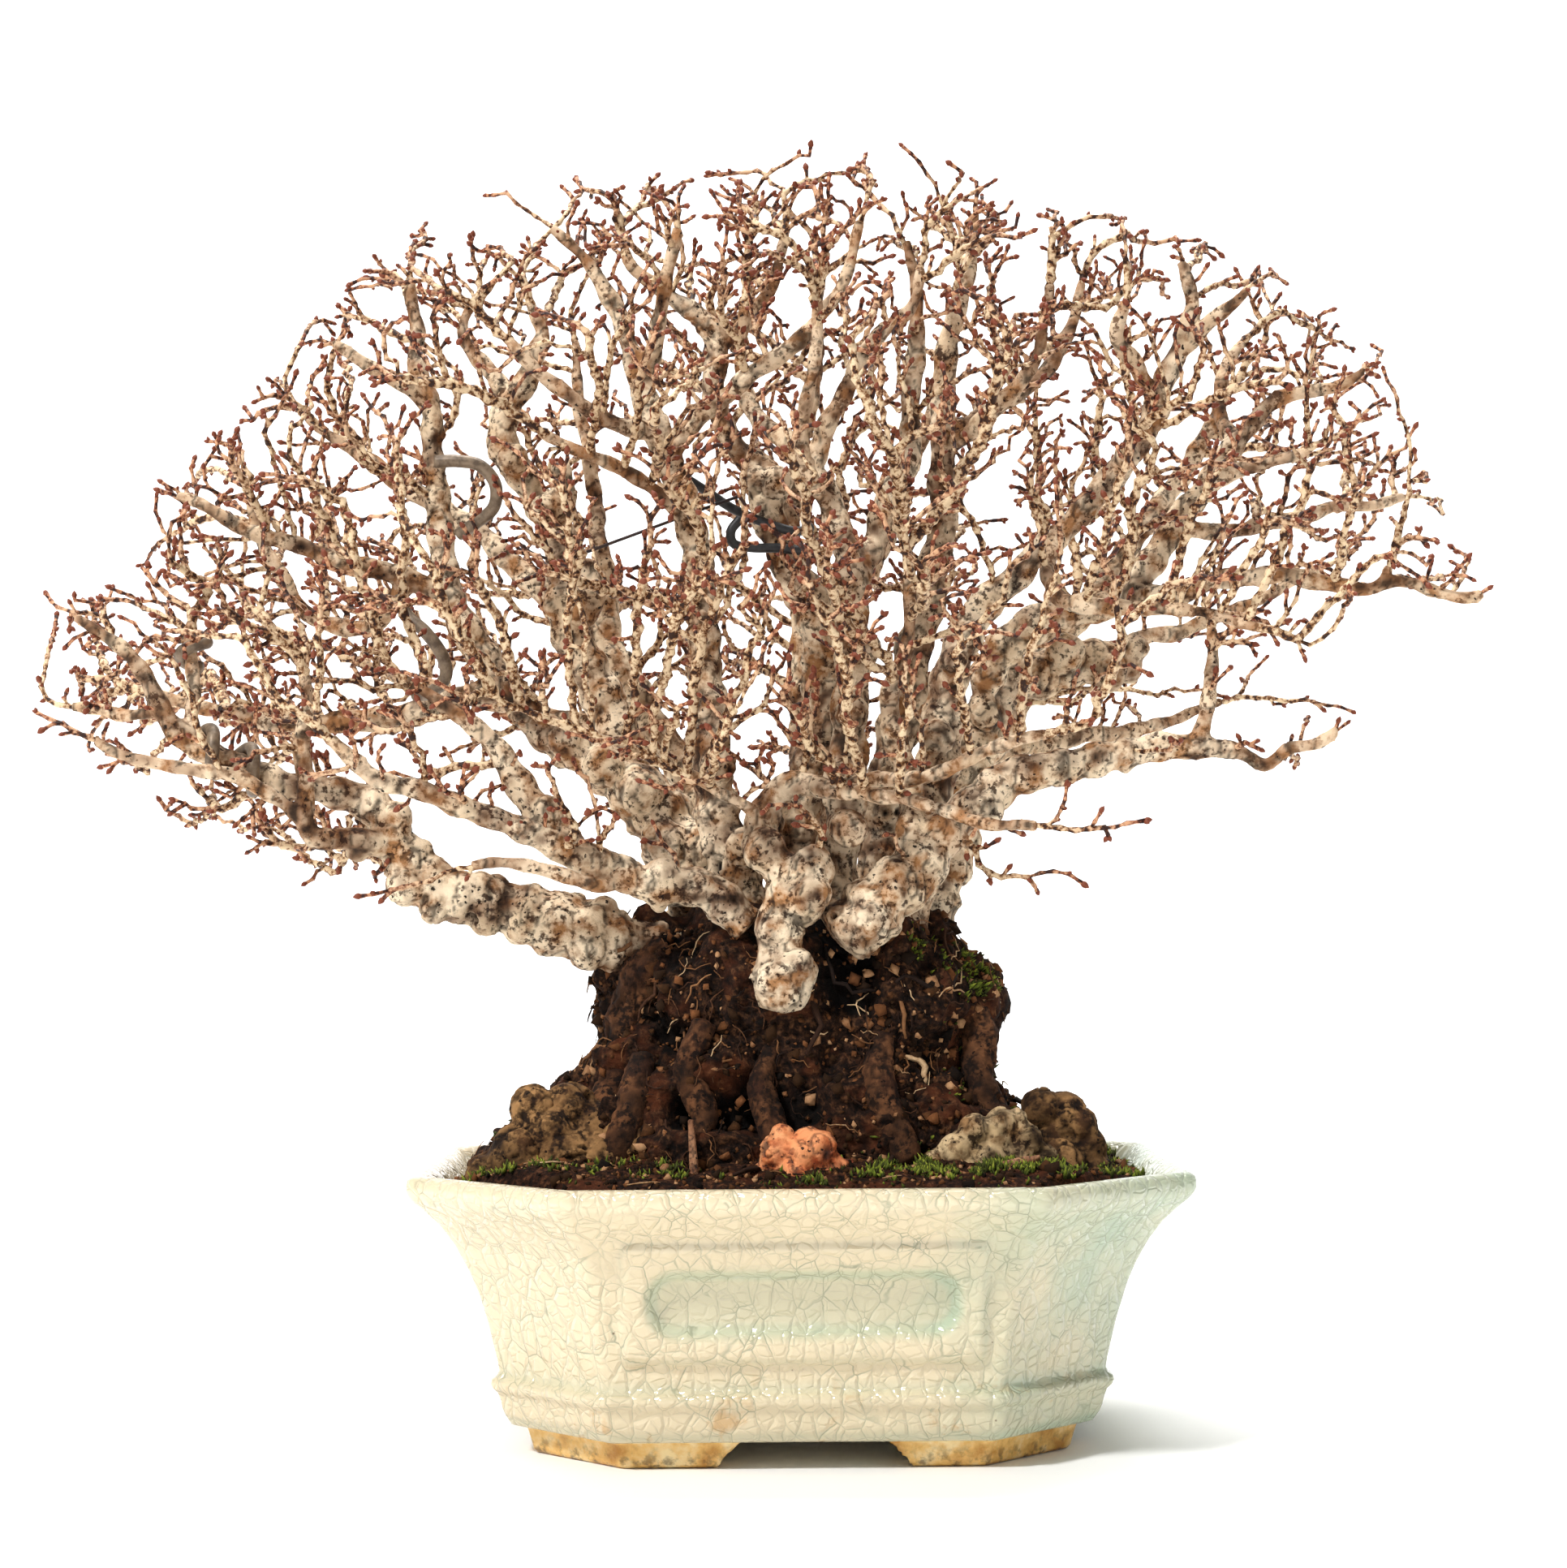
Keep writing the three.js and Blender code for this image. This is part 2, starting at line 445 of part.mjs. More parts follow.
/** A rounded lump with a faceted, slightly uneven skin. */
function lump([x, y, z, rx, ry, rz], uneven, grow = 0) {
  const geometry = new THREE.IcosahedronGeometry(1, 1);
  const position = geometry.attributes.position;
  const point = new THREE.Vector3();
  for (let k = 0; k < position.count; k += 1) {
    point.fromBufferAttribute(position, k);
    const wave = Math.sin(5 * point.x + 2 * point.z) * Math.cos(4 * point.y - 3 * point.z);
    const size = 1 + uneven * wave;
    position.setXYZ(
      k,
      x + (rx * size + grow) * point.x,
      y + (ry * size + grow) * point.y,
      z + (rz * size + grow) * point.z,
    );
  }
  return solid(geometry);
}

/** A round bar of constant thickness bent along a smooth curve. */
function wire(route, diameter, steps, grow = 0, sides = 6) {
  const curve = new THREE.CatmullRomCurve3(route.map(([x, y, z]) => new THREE.Vector3(x, y, z)));
  const stations = curve.getPoints(steps).map((p) => [p.x, p.y, p.z, diameter / 2]);
  return solid(bar(stations, sides, grow));
}

/** Route of a wire wound around the line from one point to another. */
function coil(from, to, radius, turns, start, steps) {
  const a = new THREE.Vector3(...from);
  const b = new THREE.Vector3(...to);
  const along = b.clone().sub(a);
  const u = new THREE.Vector3(0, 1, 0).cross(along).normalize();
  const v = along.clone().normalize().cross(u);
  return Array.from({ length: steps + 1 }, (_, k) => {
    const turn = start + (k / steps) * turns * 2 * Math.PI;
    const point = a.clone()
      .addScaledVector(along, k / steps)
      .addScaledVector(u, radius * Math.cos(turn))
      .addScaledVector(v, radius * Math.sin(turn));
    return point.toArray();
  });
}

// ---------------------------------------------------------------- pot

function potBody() {
  const feetTop = POT.footHeight;
  let body = octagonSolid([...POT_PROFILE].reverse());
  body = body.subtract(octagonSolid([...POT_INSIDE, [POT.wall, POT.height + 1]]));

  const footInset = 31 + POT.footWidth;
  body = body.subtract(octagonSolid([[footInset + 4, -1], [footInset, feetTop]]));

  const gap = new THREE.Shape();
  gap.moveTo(-POT.gapHalfFloor - 0.5, -1);
  gap.lineTo(POT.gapHalfFloor + 0.5, -1);
  gap.lineTo(POT.gapHalfTop, feetTop);
  gap.lineTo(-POT.gapHalfTop, feetTop);
  gap.closePath();
  const long = 3 * POT.halfWidth;
  const tunnel = new THREE.ExtrudeGeometry(gap, { depth: long, bevelEnabled: false });
  tunnel.translate(0, 0, -long / 2).rotateX(Math.PI / 2);
  body = body.subtract(solid(tunnel));
  body = body.subtract(solid(tunnel.clone().rotateZ(Math.PI / 2)));

  [-DRAIN.x, DRAIN.x].forEach((x) => {
    const hole = new THREE.CylinderGeometry(DRAIN.radius, DRAIN.radius, 20, DRAIN.sides);
    hole.rotateX(Math.PI / 2).translate(x, 0, POT.floorZ - 3);
    body = body.subtract(solid(hole));
  });

  const { halfWidth, halfHeight, corner } = PANEL;
  const sunk = new THREE.Shape([
    [-halfWidth, -halfHeight + corner], [-halfWidth + corner, -halfHeight],
    [halfWidth - corner, -halfHeight], [halfWidth, -halfHeight + corner],
    [halfWidth, halfHeight - corner], [halfWidth - corner, halfHeight],
    [-halfWidth + corner, halfHeight], [-halfWidth, halfHeight - corner],
  ].map(([x, y]) => new THREE.Vector2(x, y)));
  [0, Math.PI].forEach((turn) => {
    const plate = new THREE.ExtrudeGeometry(sunk, { depth: 6, bevelEnabled: false });
    plate.rotateX(Math.PI / 2 + Math.atan(PANEL.lean));
    plate.translate(0, -(POT.halfDepth - PANEL.inset), PANEL.midZ).rotateZ(turn);
    body = body.subtract(solid(plate));
  });
  return biggest(body);
}

function drainMesh(x) {
  const midZ = POT.floorZ + GAP + MESH.thick / 2;
  const cell = MESH_PITCH - MESH.bar;
  let plate = box(x, 0, midZ, MESH.side, MESH.side, MESH.thick);
  for (let row = 0; row < MESH.cells; row += 1) {
    for (let column = 0; column < MESH.cells; column += 1) {
      const cellX = x + (column - (MESH.cells - 1) / 2) * MESH_PITCH;
      const cellY = (row - (MESH.cells - 1) / 2) * MESH_PITCH;
      plate = plate.subtract(box(cellX, cellY, midZ, cell, cell, 3 * MESH.thick));
    }
  }
  return plate;
}

/** Bent wire that holds a drain mesh: over the mesh and down through the hole. */
function meshClip(x, grow = 0) {
  const top = POT.floorZ + GAP + MESH.thick + GAP + CLIP_WIRE / 2;
  const low = POT.floorZ - 5;
  const leg = MESH_PITCH;
  const route = [[x - leg, 0, low], [x - leg, 0, top - 1], [x - leg + 1, 0, top],
    [x + leg - 1, 0, top], [x + leg, 0, top - 1], [x + leg, 0, low]];
  return solid(bar(route.map((p) => [...p, CLIP_WIRE / 2]), 6, grow));
}

// ---------------------------------------------------------------- soil and mound

/** Root mound: oval sections whose edge waves in and out. */
function mound(grow = 0) {
  const sides = 18;
  const rings = MOUND_SECTIONS.map(([z, left, right, front, back], row) => {
    const cx = (left + right) / 2;
    const cy = (front + back) / 2;
    const rx = (right - left) / 2 + grow;
    const ry = (back - front) / 2 + grow;
    const lift = row === 0 ? -grow : (row === MOUND_SECTIONS.length - 1 ? grow : 0);
    return Array.from({ length: sides }, (_, side) => {
      const turn = (side / sides) * 2 * Math.PI;
      const wave = 1 + 0.035 * Math.sin(3 * turn + row) * Math.sin(5 * turn - 1.3 * row);
      return new THREE.Vector3(
        cx + rx * wave * Math.cos(turn),
        cy + ry * wave * Math.sin(turn),
        z + lift,
      );
    });
  });
  return solid(loft(rings));
}

function soilBody() {
  const filled = POT_INSIDE.slice(0, -1).map(([inset, z]) => [inset + GAP, z]);
  filled[0][1] += GAP;
  return octagonSolid([
    ...filled,
    [POT.wall + 3.6, SOIL_TOP - 0.6],
    [POT.wall + 12, SOIL_TOP + 2],
    [POT.wall + 26, SOIL_TOP + 4],
  ]);
}

// ---------------------------------------------------------------- trunks

/** Short side shoots along a route, turned in front and behind by turns. */
function spurRoutes(route, count) {
  const shoots = [];
  const first = Math.ceil(route.length * 0.4);
  for (let k = 0; k < count; k += 1) {
    const at = Math.min(first + Math.round((k * (route.length - 2 - first)) / count), route.length - 2);
    const [x, y, z, radius] = route[at];
    const [nx, , nz] = route[at + 1];
    const side = k % 2 === 0 ? -1 : 1;
    const reach = 26 + 5 * (k % 3);
    const out = Math.sign(nx - x) * 0.35 * reach;
    const rise = Math.max(nz - z, 4) * 0.5;
    const start = Math.min(radius * 0.55, 2.4);
    shoots.push([
      [x, y, z, start],
      [x + 0.5 * out, y + 0.55 * side * reach, z + 0.4 * rise + 3, start * 0.85],
      [x + out, y + side * reach, z + rise + 0.45 * reach, 1],
    ]);
  }
  return shoots;
}

/** One trunk with all of its branches, optionally fattened to make clearance. */
function trunkBody(trunk, grow = 0) {
  const [main, ...branches] = trunk.routes;
  const shoots = spurRoutes(main, trunk.spurs);
  let body = solid(bar(main, 6, grow));
  [...branches, ...shoots].forEach((route) => {
    body = body.add(solid(bar(route, route[0][3] > 2.5 ? 5 : 4, grow)));
  });
  return body;
}

// ---------------------------------------------------------------- wires

const WIRES = {
  // Thin tie from the dark left trunk to the knotted centre trunk.
  guy_wire: {
    colour: 'guy',
    make: (grow) => wire([[-86, 24, 275], [-82.5, 19, 272.5], [-75, 16.5, 270], [-67, 14, 272],
      [-55.5, 6, 275], [-42, 3, 279.5], [-28, 2, 284.5], [-17, 3, 288.5]], GUY_WIRE, 16, grow, 5),
  },
  // Black sleeved hooks that pull on the knotted centre trunk.
  hook_wire_upper: {
    colour: 'black',
    make: (grow) => wire([[-36, 4, 295.5], [-28, 5, 290.5], [-19, 5, 284.5], [-9, 4, 280],
      [0, 5, 277.5], [5, 11, 279.5]], BLACK_WIRE, 10, grow),
  },
  hook_wire_lower: {
    colour: 'black',
    make: (grow) => wire([[-17, 0, 281], [-20, 0, 277], [-19, 0.5, 273], [-13, 2, 272],
      [-5, 3, 272], [4, 4, 271]], BLACK_WIRE, 10, grow),
  },
  // Bare aluminium shaping wire, wound around the limbs that it bends.
  shaping_wire_low_left: {
    colour: 'aluminium',
    make: (grow) => wire(
      coil([-161, -27.5, 200.5], [-179.5, -31.5, 209.5], 5.8, 1.6, 3.4, 16),
      ALUMINIUM_WIRE,
      20,
      grow,
    ),
  },
  shaping_wire_left: {
    colour: 'aluminium',
    make: (grow) => wire([[-122.5, -4, 256.5], [-120, -7, 250.5], [-114, -9, 245], [-109, -9, 238],
      [-108, -7, 231.5], [-113, -2, 227], [-118.5, 3, 226.5]], ALUMINIUM_WIRE, 16, grow),
  },
  shaping_wire_upper_left: {
    colour: 'aluminium',
    make: (grow) => wire([[-111.5, -4, 298.5], [-104.5, -5, 298.5], [-97.5, -5, 297], [-93, -4, 291.5],
      [-93.5, -3, 284.5], [-99, -1, 280], [-105, 2, 276.5]], ALUMINIUM_WIRE, 16, grow),
  },
  shaping_wire_far_left: {
    colour: 'aluminium',
    make: (grow) => wire(
      coil([-182.5, -22, 234], [-183, -20.5, 244], 4, 1.2, 1.2, 10),
      ALUMINIUM_WIRE,
      14,
      grow,
    ),
  },
  // Grey tie wire lying on the soil in front of the mound.
  anchor_wire: {
    colour: 'guy',
    make: (grow) => wire([[-26, -70, 81.2], [-18, -72, 81.2], [-8, -72, 80.8], [2, -71, 80.8]],
      1.2, 6, grow, 5),
  },
};

// ---------------------------------------------------------------- assembly

const FINISH = {
  pot: { color: '#d9dcc9', roughness: 0.3, metalness: 0 },
  mesh: { color: '#2c2f2e', roughness: 0.6, metalness: 0 },
  aluminium: { color: '#9d968a', roughness: 0.5, metalness: 0.7 },
  guy: { color: '#6d6a64', roughness: 0.5, metalness: 0.6 },
  black: { color: '#232426', roughness: 0.6, metalness: 0 },
  soil: { color: '#2b1d14', roughness: 1, metalness: 0 },
  mound: { color: '#3a281c', roughness: 1, metalness: 0 },
  bark: { color: '#a58d72', roughness: 0.9, metalness: 0 },
  wood: { color: '#9a5a30', roughness: 0.85, metalness: 0 },
  moss: { color: '#55702c', roughness: 1, metalness: 0 },
};

const tree = new THREE.Group();

function place(name, body, finish) {
  const mesh = new THREE.Mesh(geometryOf(body), new THREE.MeshStandardMaterial(FINISH[finish]));
  mesh.name = name;
  tree.add(mesh);
}

place('pot', potBody(), 'pot');
[['left', -DRAIN.x], ['right', DRAIN.x]].forEach(([side, x]) => {
  place(`drain_mesh_${side}`, drainMesh(x), 'mesh');
  place(`mesh_clip_${side}`, meshClip(x), 'aluminium');
});

const wires = Object.entries(WIRES).map(([name, { colour, make }]) => {
  place(name, make(0), colour);
  return { name, cutter: make(GAP) };
});
const heldWires = wires.filter(({ name }) => name !== 'anchor_wire');

const grownTrunks = [];
TRUNKS.forEach((trunk) => {
  let body = trunkBody(trunk);
  [...heldWires.map(({ cutter }) => cutter), ...grownTrunks].forEach((cutter) => {
    if (body.intersect(cutter).volume() > 0) {
      body = body.subtract(cutter);
    }
  });
  body = biggest(body);
  place(trunk.name, body, 'bark');
  grownTrunks.push(trunkBody(trunk, GAP));
});

// The loose pieces on the soil stand on the soil and beside the mound.
const moundCutter = mound(GAP);
const insidePot = octagonSolid([[POT.wall + 1, SOIL_TOP - 5], [POT.wall + 1, 2 * POT.height]]);

let moundBody = mound();
grownTrunks.forEach((cutter) => {
  moundBody = moundBody.subtract(cutter);
});
moundBody = biggest(moundBody);

let soil = soilBody().subtract(moundCutter);
[-DRAIN.x, DRAIN.x].forEach((x) => {
  const pad = MESH.side + 2 * GAP;
  soil = soil.subtract(box(x, 0, POT.floorZ + 0.9, pad, pad, 2));
  soil = soil.subtract(meshClip(x, GAP));
});

const loosePieces = [];

/** Bed a loose piece on the soil, on the mound and against earlier loose pieces. */
function bed(name, make, finish) {
  let body = make(0).intersect(insidePot).subtract(moundCutter);
  [...grownTrunks, ...loosePieces].forEach((cutter) => {
    body = body.subtract(cutter);
  });
  loosePieces.push(make(GAP));
  soil = soil.subtract(make(GAP));
  place(name, biggest(body), finish);
}

Object.entries(KNOBS).forEach(([name, shape]) => {
  bed(name, (grow) => lump(shape, 0.08, grow), name === 'root_knob_right' ? 'bark' : 'mound');
});
bed('orange_root', (grow) => lump([-2, -60, 87, 12, 8, 11], 0.12, grow), 'wood');
bed('upright_stick', (grow) => wire([[-31, -66, 76], [-31, -65, 85], [-31.5, -62, 93],
  [-32, -60, 99]], 2.4, 6, grow, 6), 'wood');
bed('wood_chip', (grow) => {
  const chip = new THREE.BoxGeometry(17 + 2 * grow, 4 + 2 * grow, 1.8 + 2 * grow);
  return solid(chip.rotateY(-0.2).rotateZ(0.25).translate(60, -66, 85.5));
}, 'wood');
Object.entries(MOSS).forEach(([name, shape]) => {
  bed(name, (grow) => lump(shape, 0.06, grow), 'moss');
});
soil = soil.subtract(WIRES.anchor_wire.make(GAP));

place('root_mound', moundBody, 'mound');
place('soil', biggest(soil), 'soil');

// Origin at the middle of the underside of the whole object's bounding box.
const bounds = new THREE.Box3().setFromObject(tree);
const middle = bounds.getCenter(new THREE.Vector3());
tree.position.set(-middle.x, -middle.y, -bounds.min.z);
tree.updateMatrixWorld(true);

const object = new THREE.Group();
object.name = 'bonsai_tree';
object.add(tree);
object.updateMatrixWorld(true);

export default object;
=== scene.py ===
"""Clump-style bonsai on a dark root mound, in a shallow octagonal glazed pot.

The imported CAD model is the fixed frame. The tables below are in millimetres from the middle of
the pot's underside, with +X to the right, -Y towards the viewer and +Z up. ``to_frame`` turns
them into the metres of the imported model.
"""
import logging
from collections.abc import Callable, Sequence
from dataclasses import dataclass, field
from enum import Enum
from functools import partial

import bpy
import numpy as np
from mathutils import Matrix, Vector


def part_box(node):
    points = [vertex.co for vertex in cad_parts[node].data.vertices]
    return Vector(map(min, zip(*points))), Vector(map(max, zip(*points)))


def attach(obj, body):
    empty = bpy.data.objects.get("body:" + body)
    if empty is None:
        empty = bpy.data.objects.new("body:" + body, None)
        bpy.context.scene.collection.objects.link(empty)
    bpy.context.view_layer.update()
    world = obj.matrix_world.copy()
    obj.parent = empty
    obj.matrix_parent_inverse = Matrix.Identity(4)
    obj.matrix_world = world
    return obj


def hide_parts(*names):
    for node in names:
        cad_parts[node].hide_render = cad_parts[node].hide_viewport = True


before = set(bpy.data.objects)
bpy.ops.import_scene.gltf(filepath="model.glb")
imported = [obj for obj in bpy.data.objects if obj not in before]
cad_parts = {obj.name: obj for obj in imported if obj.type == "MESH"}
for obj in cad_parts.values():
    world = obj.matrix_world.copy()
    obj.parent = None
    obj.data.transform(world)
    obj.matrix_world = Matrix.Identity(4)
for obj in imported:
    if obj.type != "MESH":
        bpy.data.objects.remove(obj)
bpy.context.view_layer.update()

log = logging.getLogger("bonsai")

Array = np.ndarray
Station = tuple[float, float, float, float]
Route = tuple[Station, ...]
Shell = tuple[Array, Array]
Socket = bpy.types.NodeSocket
Adder = Callable[..., Socket]
Tone = tuple[float, str]
Clouds = tuple[tuple[float, float], ...]
Dressing = tuple[Socket, Socket | None, Socket | None]

POT_BOX = [np.array(corner) * 1000.0 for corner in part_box("pot")]
POT_MIDDLE = np.array([*(0.5 * (POT_BOX[0] + POT_BOX[1]))[:2], POT_BOX[0][2]])


class Slot(Enum):
    """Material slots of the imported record."""

    GLAZE = "glaze"
    MESH = "mesh_plastic"
    ALUMINIUM = "aluminium_wire"
    TIE = "tie_wire"
    SLEEVE = "black_sleeve"
    BARK = "bark"
    ROOTS = "root_mass"
    SOIL = "soil"
    DEAD_WOOD = "dead_wood"
    MOSS = "moss"


# Routes of each trunk. A route is a chain of (x, y, z, radius) stations, and each route after
# the first starts inside an earlier one.
TRUNKS: dict[str, tuple[Route, ...]] = {
    "trunk_low_left": (
        ((-37.5, -12, 146, 8), (-54.5, -14, 150, 9.5), (-71, -15, 154, 9.5),
         (-88.5, -16, 161, 8.5), (-104, -17, 165, 8), (-116, -18, 171, 7.5),
         (-123.5, -20, 182.5, 6.3), (-131, -22, 192, 5.4), (-143.5, -24, 196, 4.8),
         (-157.5, -27, 199.5, 4.2), (-172.5, -30, 205.5, 4), (-183.5, -32, 212, 3.7),
         (-190, -34, 222.5, 3.2), (-196, -36, 233, 2.5), (-207, -38, 241.5, 2),
         (-221, -40, 251.5, 1.3)),
        ((-119.5, -19, 176.5, 4), (-133, -28, 181.5, 4.2), (-144.5, -34, 182, 3.4),
         (-146.5, -36, 194.5, 3), (-146, -38, 208, 2.8), (-144.5, -40, 220, 2.4),
         (-146.5, -42, 232.5, 1.6)),
        ((-144.5, -34, 184, 2), (-155.5, -38, 193.5, 2.2), (-168, -42, 200, 2.2),
         (-188.5, -45, 203.5, 2), (-201.5, -47, 208, 1.7), (-212, -49, 212, 1.5),
         (-223, -50, 217.5, 1.2)),
        ((-189, -34, 219.5, 2), (-201.5, -30, 219, 1.9), (-215.5, -27, 221, 1.6),
         (-228.5, -25, 224, 1.1)),
        ((-182.5, -32, 212, 2.4), (-181, -26, 224, 2.2), (-182.5, -22, 236, 2),
         (-183, -20, 248, 1.7), (-178.5, -18, 260, 1.2)),
    ),
    "trunk_second_left": (
        ((-16, -36, 155, 6), (-25.5, -38, 164, 6), (-38.5, -41, 166.5, 5.5), (-54, -44, 170.5, 5),
         (-65, -47, 176, 4.6), (-78, -50, 182.5, 4), (-92.5, -54, 188, 3.6),
         (-105.5, -58, 192.5, 3.2), (-118, -62, 196, 2.8), (-128.5, -65, 202.5, 2.3),
         (-136.5, -68, 211.5, 1.4)),
        ((-63, -46, 175, 4), (-72, -44, 184.5, 5), (-82.5, -43, 196, 4.6), (-89, -43, 206.5, 3.2),
         (-97.5, -44, 216, 2.6), (-110.5, -46, 223.5, 2), (-121.5, -48, 232, 1.3)),
        ((-48, -43, 168.5, 2.2), (-59, -50, 166.5, 2.2), (-72, -55, 171, 2.1),
         (-86.5, -60, 173, 1.8), (-101, -64, 170, 1.5), (-113.5, -67, 166.5, 1.3),
         (-124.5, -69, 164.5, 1)),
    ),
    "trunk_left_main": (
        ((-26, 6, 150, 9.5), (-32, 6, 170, 10.5), (-43, 5, 187, 10), (-53, 4, 199, 8.2),
         (-66, 4, 208, 7), (-79.5, 4, 216.5, 6), (-90.5, 5, 228.5, 5.6), (-99.5, 6, 241.5, 5.2),
         (-107.5, 6, 255.5, 4.8), (-110.5, 6, 271, 4.4), (-111.5, 6, 286, 4),
         (-113.5, 5, 301, 3.7), (-113.5, 4, 315.5, 3.4), (-117.5, 3, 330.5, 3),
         (-119, 2, 348.5, 2.3), (-119, 0, 366, 1.3)),
        ((-90.5, 6, 228.5, 4), (-105, 9, 225.5, 4), (-121.5, 12, 222, 4), (-138, 14, 220, 3.6),
         (-152.5, 16, 218, 3.2), (-168, 18, 220, 2.6), (-185, 20, 223.5, 2.2),
         (-200.5, 22, 227.5, 1.8), (-217.5, 24, 234, 1.2)),
        ((-107.5, 6, 256.5, 3.6), (-121.5, 3, 262.5, 3.5), (-136, 1, 267, 3.1),
         (-152, -1, 272, 2.9), (-167.5, -3, 276.5, 2.5), (-184, -5, 284.5, 1.9),
         (-198.5, -6, 291, 1.2)),
        ((-111.5, 6, 285, 2.6), (-123.5, 12, 294, 2.5), (-137.5, 18, 303, 2.1),
         (-150.5, 23, 312, 1.8), (-162.5, 27, 325, 1.2)),
        ((-114.5, 4, 317.5, 3), (-122.5, -2, 324.5, 2.6), (-134, -6, 330, 2),
         (-144.5, -9, 336, 1.2)),
        ((-121.5, 3, 261.5, 3), (-132.5, 10, 249, 2.8), (-145, 14, 249.5, 2.8),
         (-156.5, 16, 255.5, 2.6), (-164, 18, 268, 2.3), (-171.5, 19, 281.5, 1.8),
         (-174.5, 20, 298, 1.2)),
    ),
    "trunk_left_dark": (
        ((-24.5, 32, 149.5, 8), (-39, 31, 180.5, 7.8), (-51.5, 30, 206.5, 7.4),
         (-63.5, 29, 230.5, 7), (-72, 28, 249, 6.6), (-74, 27, 266, 6.2), (-76, 26, 281.5, 5.6),
         (-84, 25, 293.5, 5), (-92, 24, 307, 4.8), (-91, 23, 319, 4.4), (-86, 22, 330, 3.6),
         (-80.5, 21, 344.5, 2.4), (-85.5, 20, 360.5, 1.3)),
        ((-90, 23, 322, 3.2), (-98.5, 26, 333, 2.8), (-106, 28, 345, 2.1), (-101, 30, 359.5, 1.3)),
        ((-72, 28, 250, 4.6), (-65, 20, 258, 4.6), (-66, 18, 270, 3.8)),
        ((-76, 26, 282.5, 4.2), (-73.5, 20, 292, 4.2), (-75, 17, 301.5, 2.6)),
    ),
    "trunk_centre_left": (
        ((-14, -13, 150, 8), (-20, -13, 172, 8), (-25, -13, 194.5, 6.8), (-27, -13, 219, 6),
         (-28, -13, 243.5, 5.2), (-29, -13, 260.5, 5), (-31.5, -13, 276, 4.8),
         (-36.5, -13, 290, 4.8), (-41.5, -14, 303.5, 4.5), (-46.5, -15, 317, 3.9),
         (-51.5, -16, 332, 3.3), (-57, -17, 346.5, 2.6), (-65, -18, 360, 2),
         (-77.5, -19, 369.5, 1.6), (-90, -20, 380, 1.1)),
        ((-39.5, -14, 297.5, 3), (-28.5, -18, 309, 3), (-18, -21, 317, 2.8), (-7, -24, 326.5, 2.7),
         (4.5, -27, 335.5, 2.3), (14, -29, 346.5, 1.9), (19, -30, 363, 1.6),
         (23.5, -31, 380, 1.2)),
        ((-42.5, -14, 305.5, 3), (-53, -22, 306, 2.9), (-63.5, -26, 310.5, 2.6),
         (-74, -29, 318.5, 2.3), (-81.5, -31, 325, 1.9), (-90, -33, 333, 1.6),
         (-97.5, -35, 341.5, 1.1)),
        ((-32.5, -13, 278, 2.6), (-42, -22, 285, 2.5), (-52.5, -28, 291.5, 2.3),
         (-64, -33, 295.5, 1.9), (-75, -37, 300, 1.6), (-83.5, -40, 306, 1.1)),
        ((-46.5, -15, 318, 3), (-43.5, -20, 331, 2.8), (-40, -24, 345, 2.3),
         (-37, -27, 360.5, 1.8), (-35, -30, 376.5, 1.2)),
    ),
    "trunk_centre_dark": (
        ((-4, 16, 150, 8), (0, 16, 178.5, 7.6), (5.5, 15, 206, 7), (9.5, 14, 231, 6.5),
         (7.5, 13, 251.5, 6.4), (-2, 12, 267.5, 5.8), (-7, 12, 281.5, 5.4), (-9, 12, 294, 6),
         (-16, 11, 302, 4), (-22, 10, 312.5, 3.8), (-25, 9, 324.5, 4.2), (-24, 8, 336.5, 3.8),
         (-31, 6, 347.5, 3), (-43, 4, 354, 2.3), (-51, 2, 362.5, 1.8), (-54, 0, 379, 1.2)),
        ((-24, 8, 336.5, 2.8), (-15, 12, 345.5, 2.5), (-6, 15, 356.5, 2.1), (-3, 17, 373, 1.7),
         (-2, 19, 390, 1.2)),
    ),
    "trunk_centre_pale": (
        ((8.5, -14, 150, 7.6), (13.5, -14, 179.5, 7), (16.5, -13, 209, 6), (16.5, -13, 237, 5.4),
         (16.5, -13, 256.5, 5), (15.5, -13, 270.5, 4.6), (10.5, -13, 283, 4.3), (3.5, -13, 295, 4),
         (-4, -13, 304, 3.4), (-13, -2, 313.5, 2.8), (-17, 2, 327.5, 2), (-16, 4, 346, 1.6),
         (-13, 5, 377, 1.1)),
        ((4.5, -13, 294, 3), (9.5, -17, 306, 3), (15.5, -20, 316.5, 3), (21, -22, 327.5, 2.8),
         (28, -24, 336, 2.4), (36.5, -26, 342.5, 1.9), (38.5, -28, 355.5, 1.5),
         (39, -29, 370.5, 1.1)),
        ((16.5, -13, 257.5, 4.8), (23.5, -7, 272, 4.6), (29, -4, 286.5, 4.2), (35, -3, 300.5, 3.8),
         (36, -3, 317.5, 3.4), (38, -4, 334, 3), (38.5, -5, 349, 2.3), (35.5, -6, 366.5, 1.6)),
        ((10.5, -14, 282, 2.8), (3.5, -24, 292, 2.6), (1.5, -30, 305, 2.3), (5, -35, 319.5, 2),
         (7, -40, 335.5, 1.7), (8, -43, 355, 1.4), (10, -45, 379, 1.1)),
    ),
    "trunk_centre_right": (
        ((19.5, 14, 150, 7.6), (26.5, 14, 180.5, 7.2), (31.5, 14, 209, 6.8), (37, 14, 236, 6.2),
         (43, 14, 259.5, 5.7), (46, 15, 282, 5.2), (47, 15, 305.5, 4.6), (48, 15, 328, 3.9),
         (51, 15, 345, 3.1), (55, 15, 360.5, 2.4), (58, 15, 374.5, 1.8), (59, 15, 390, 1.2)),
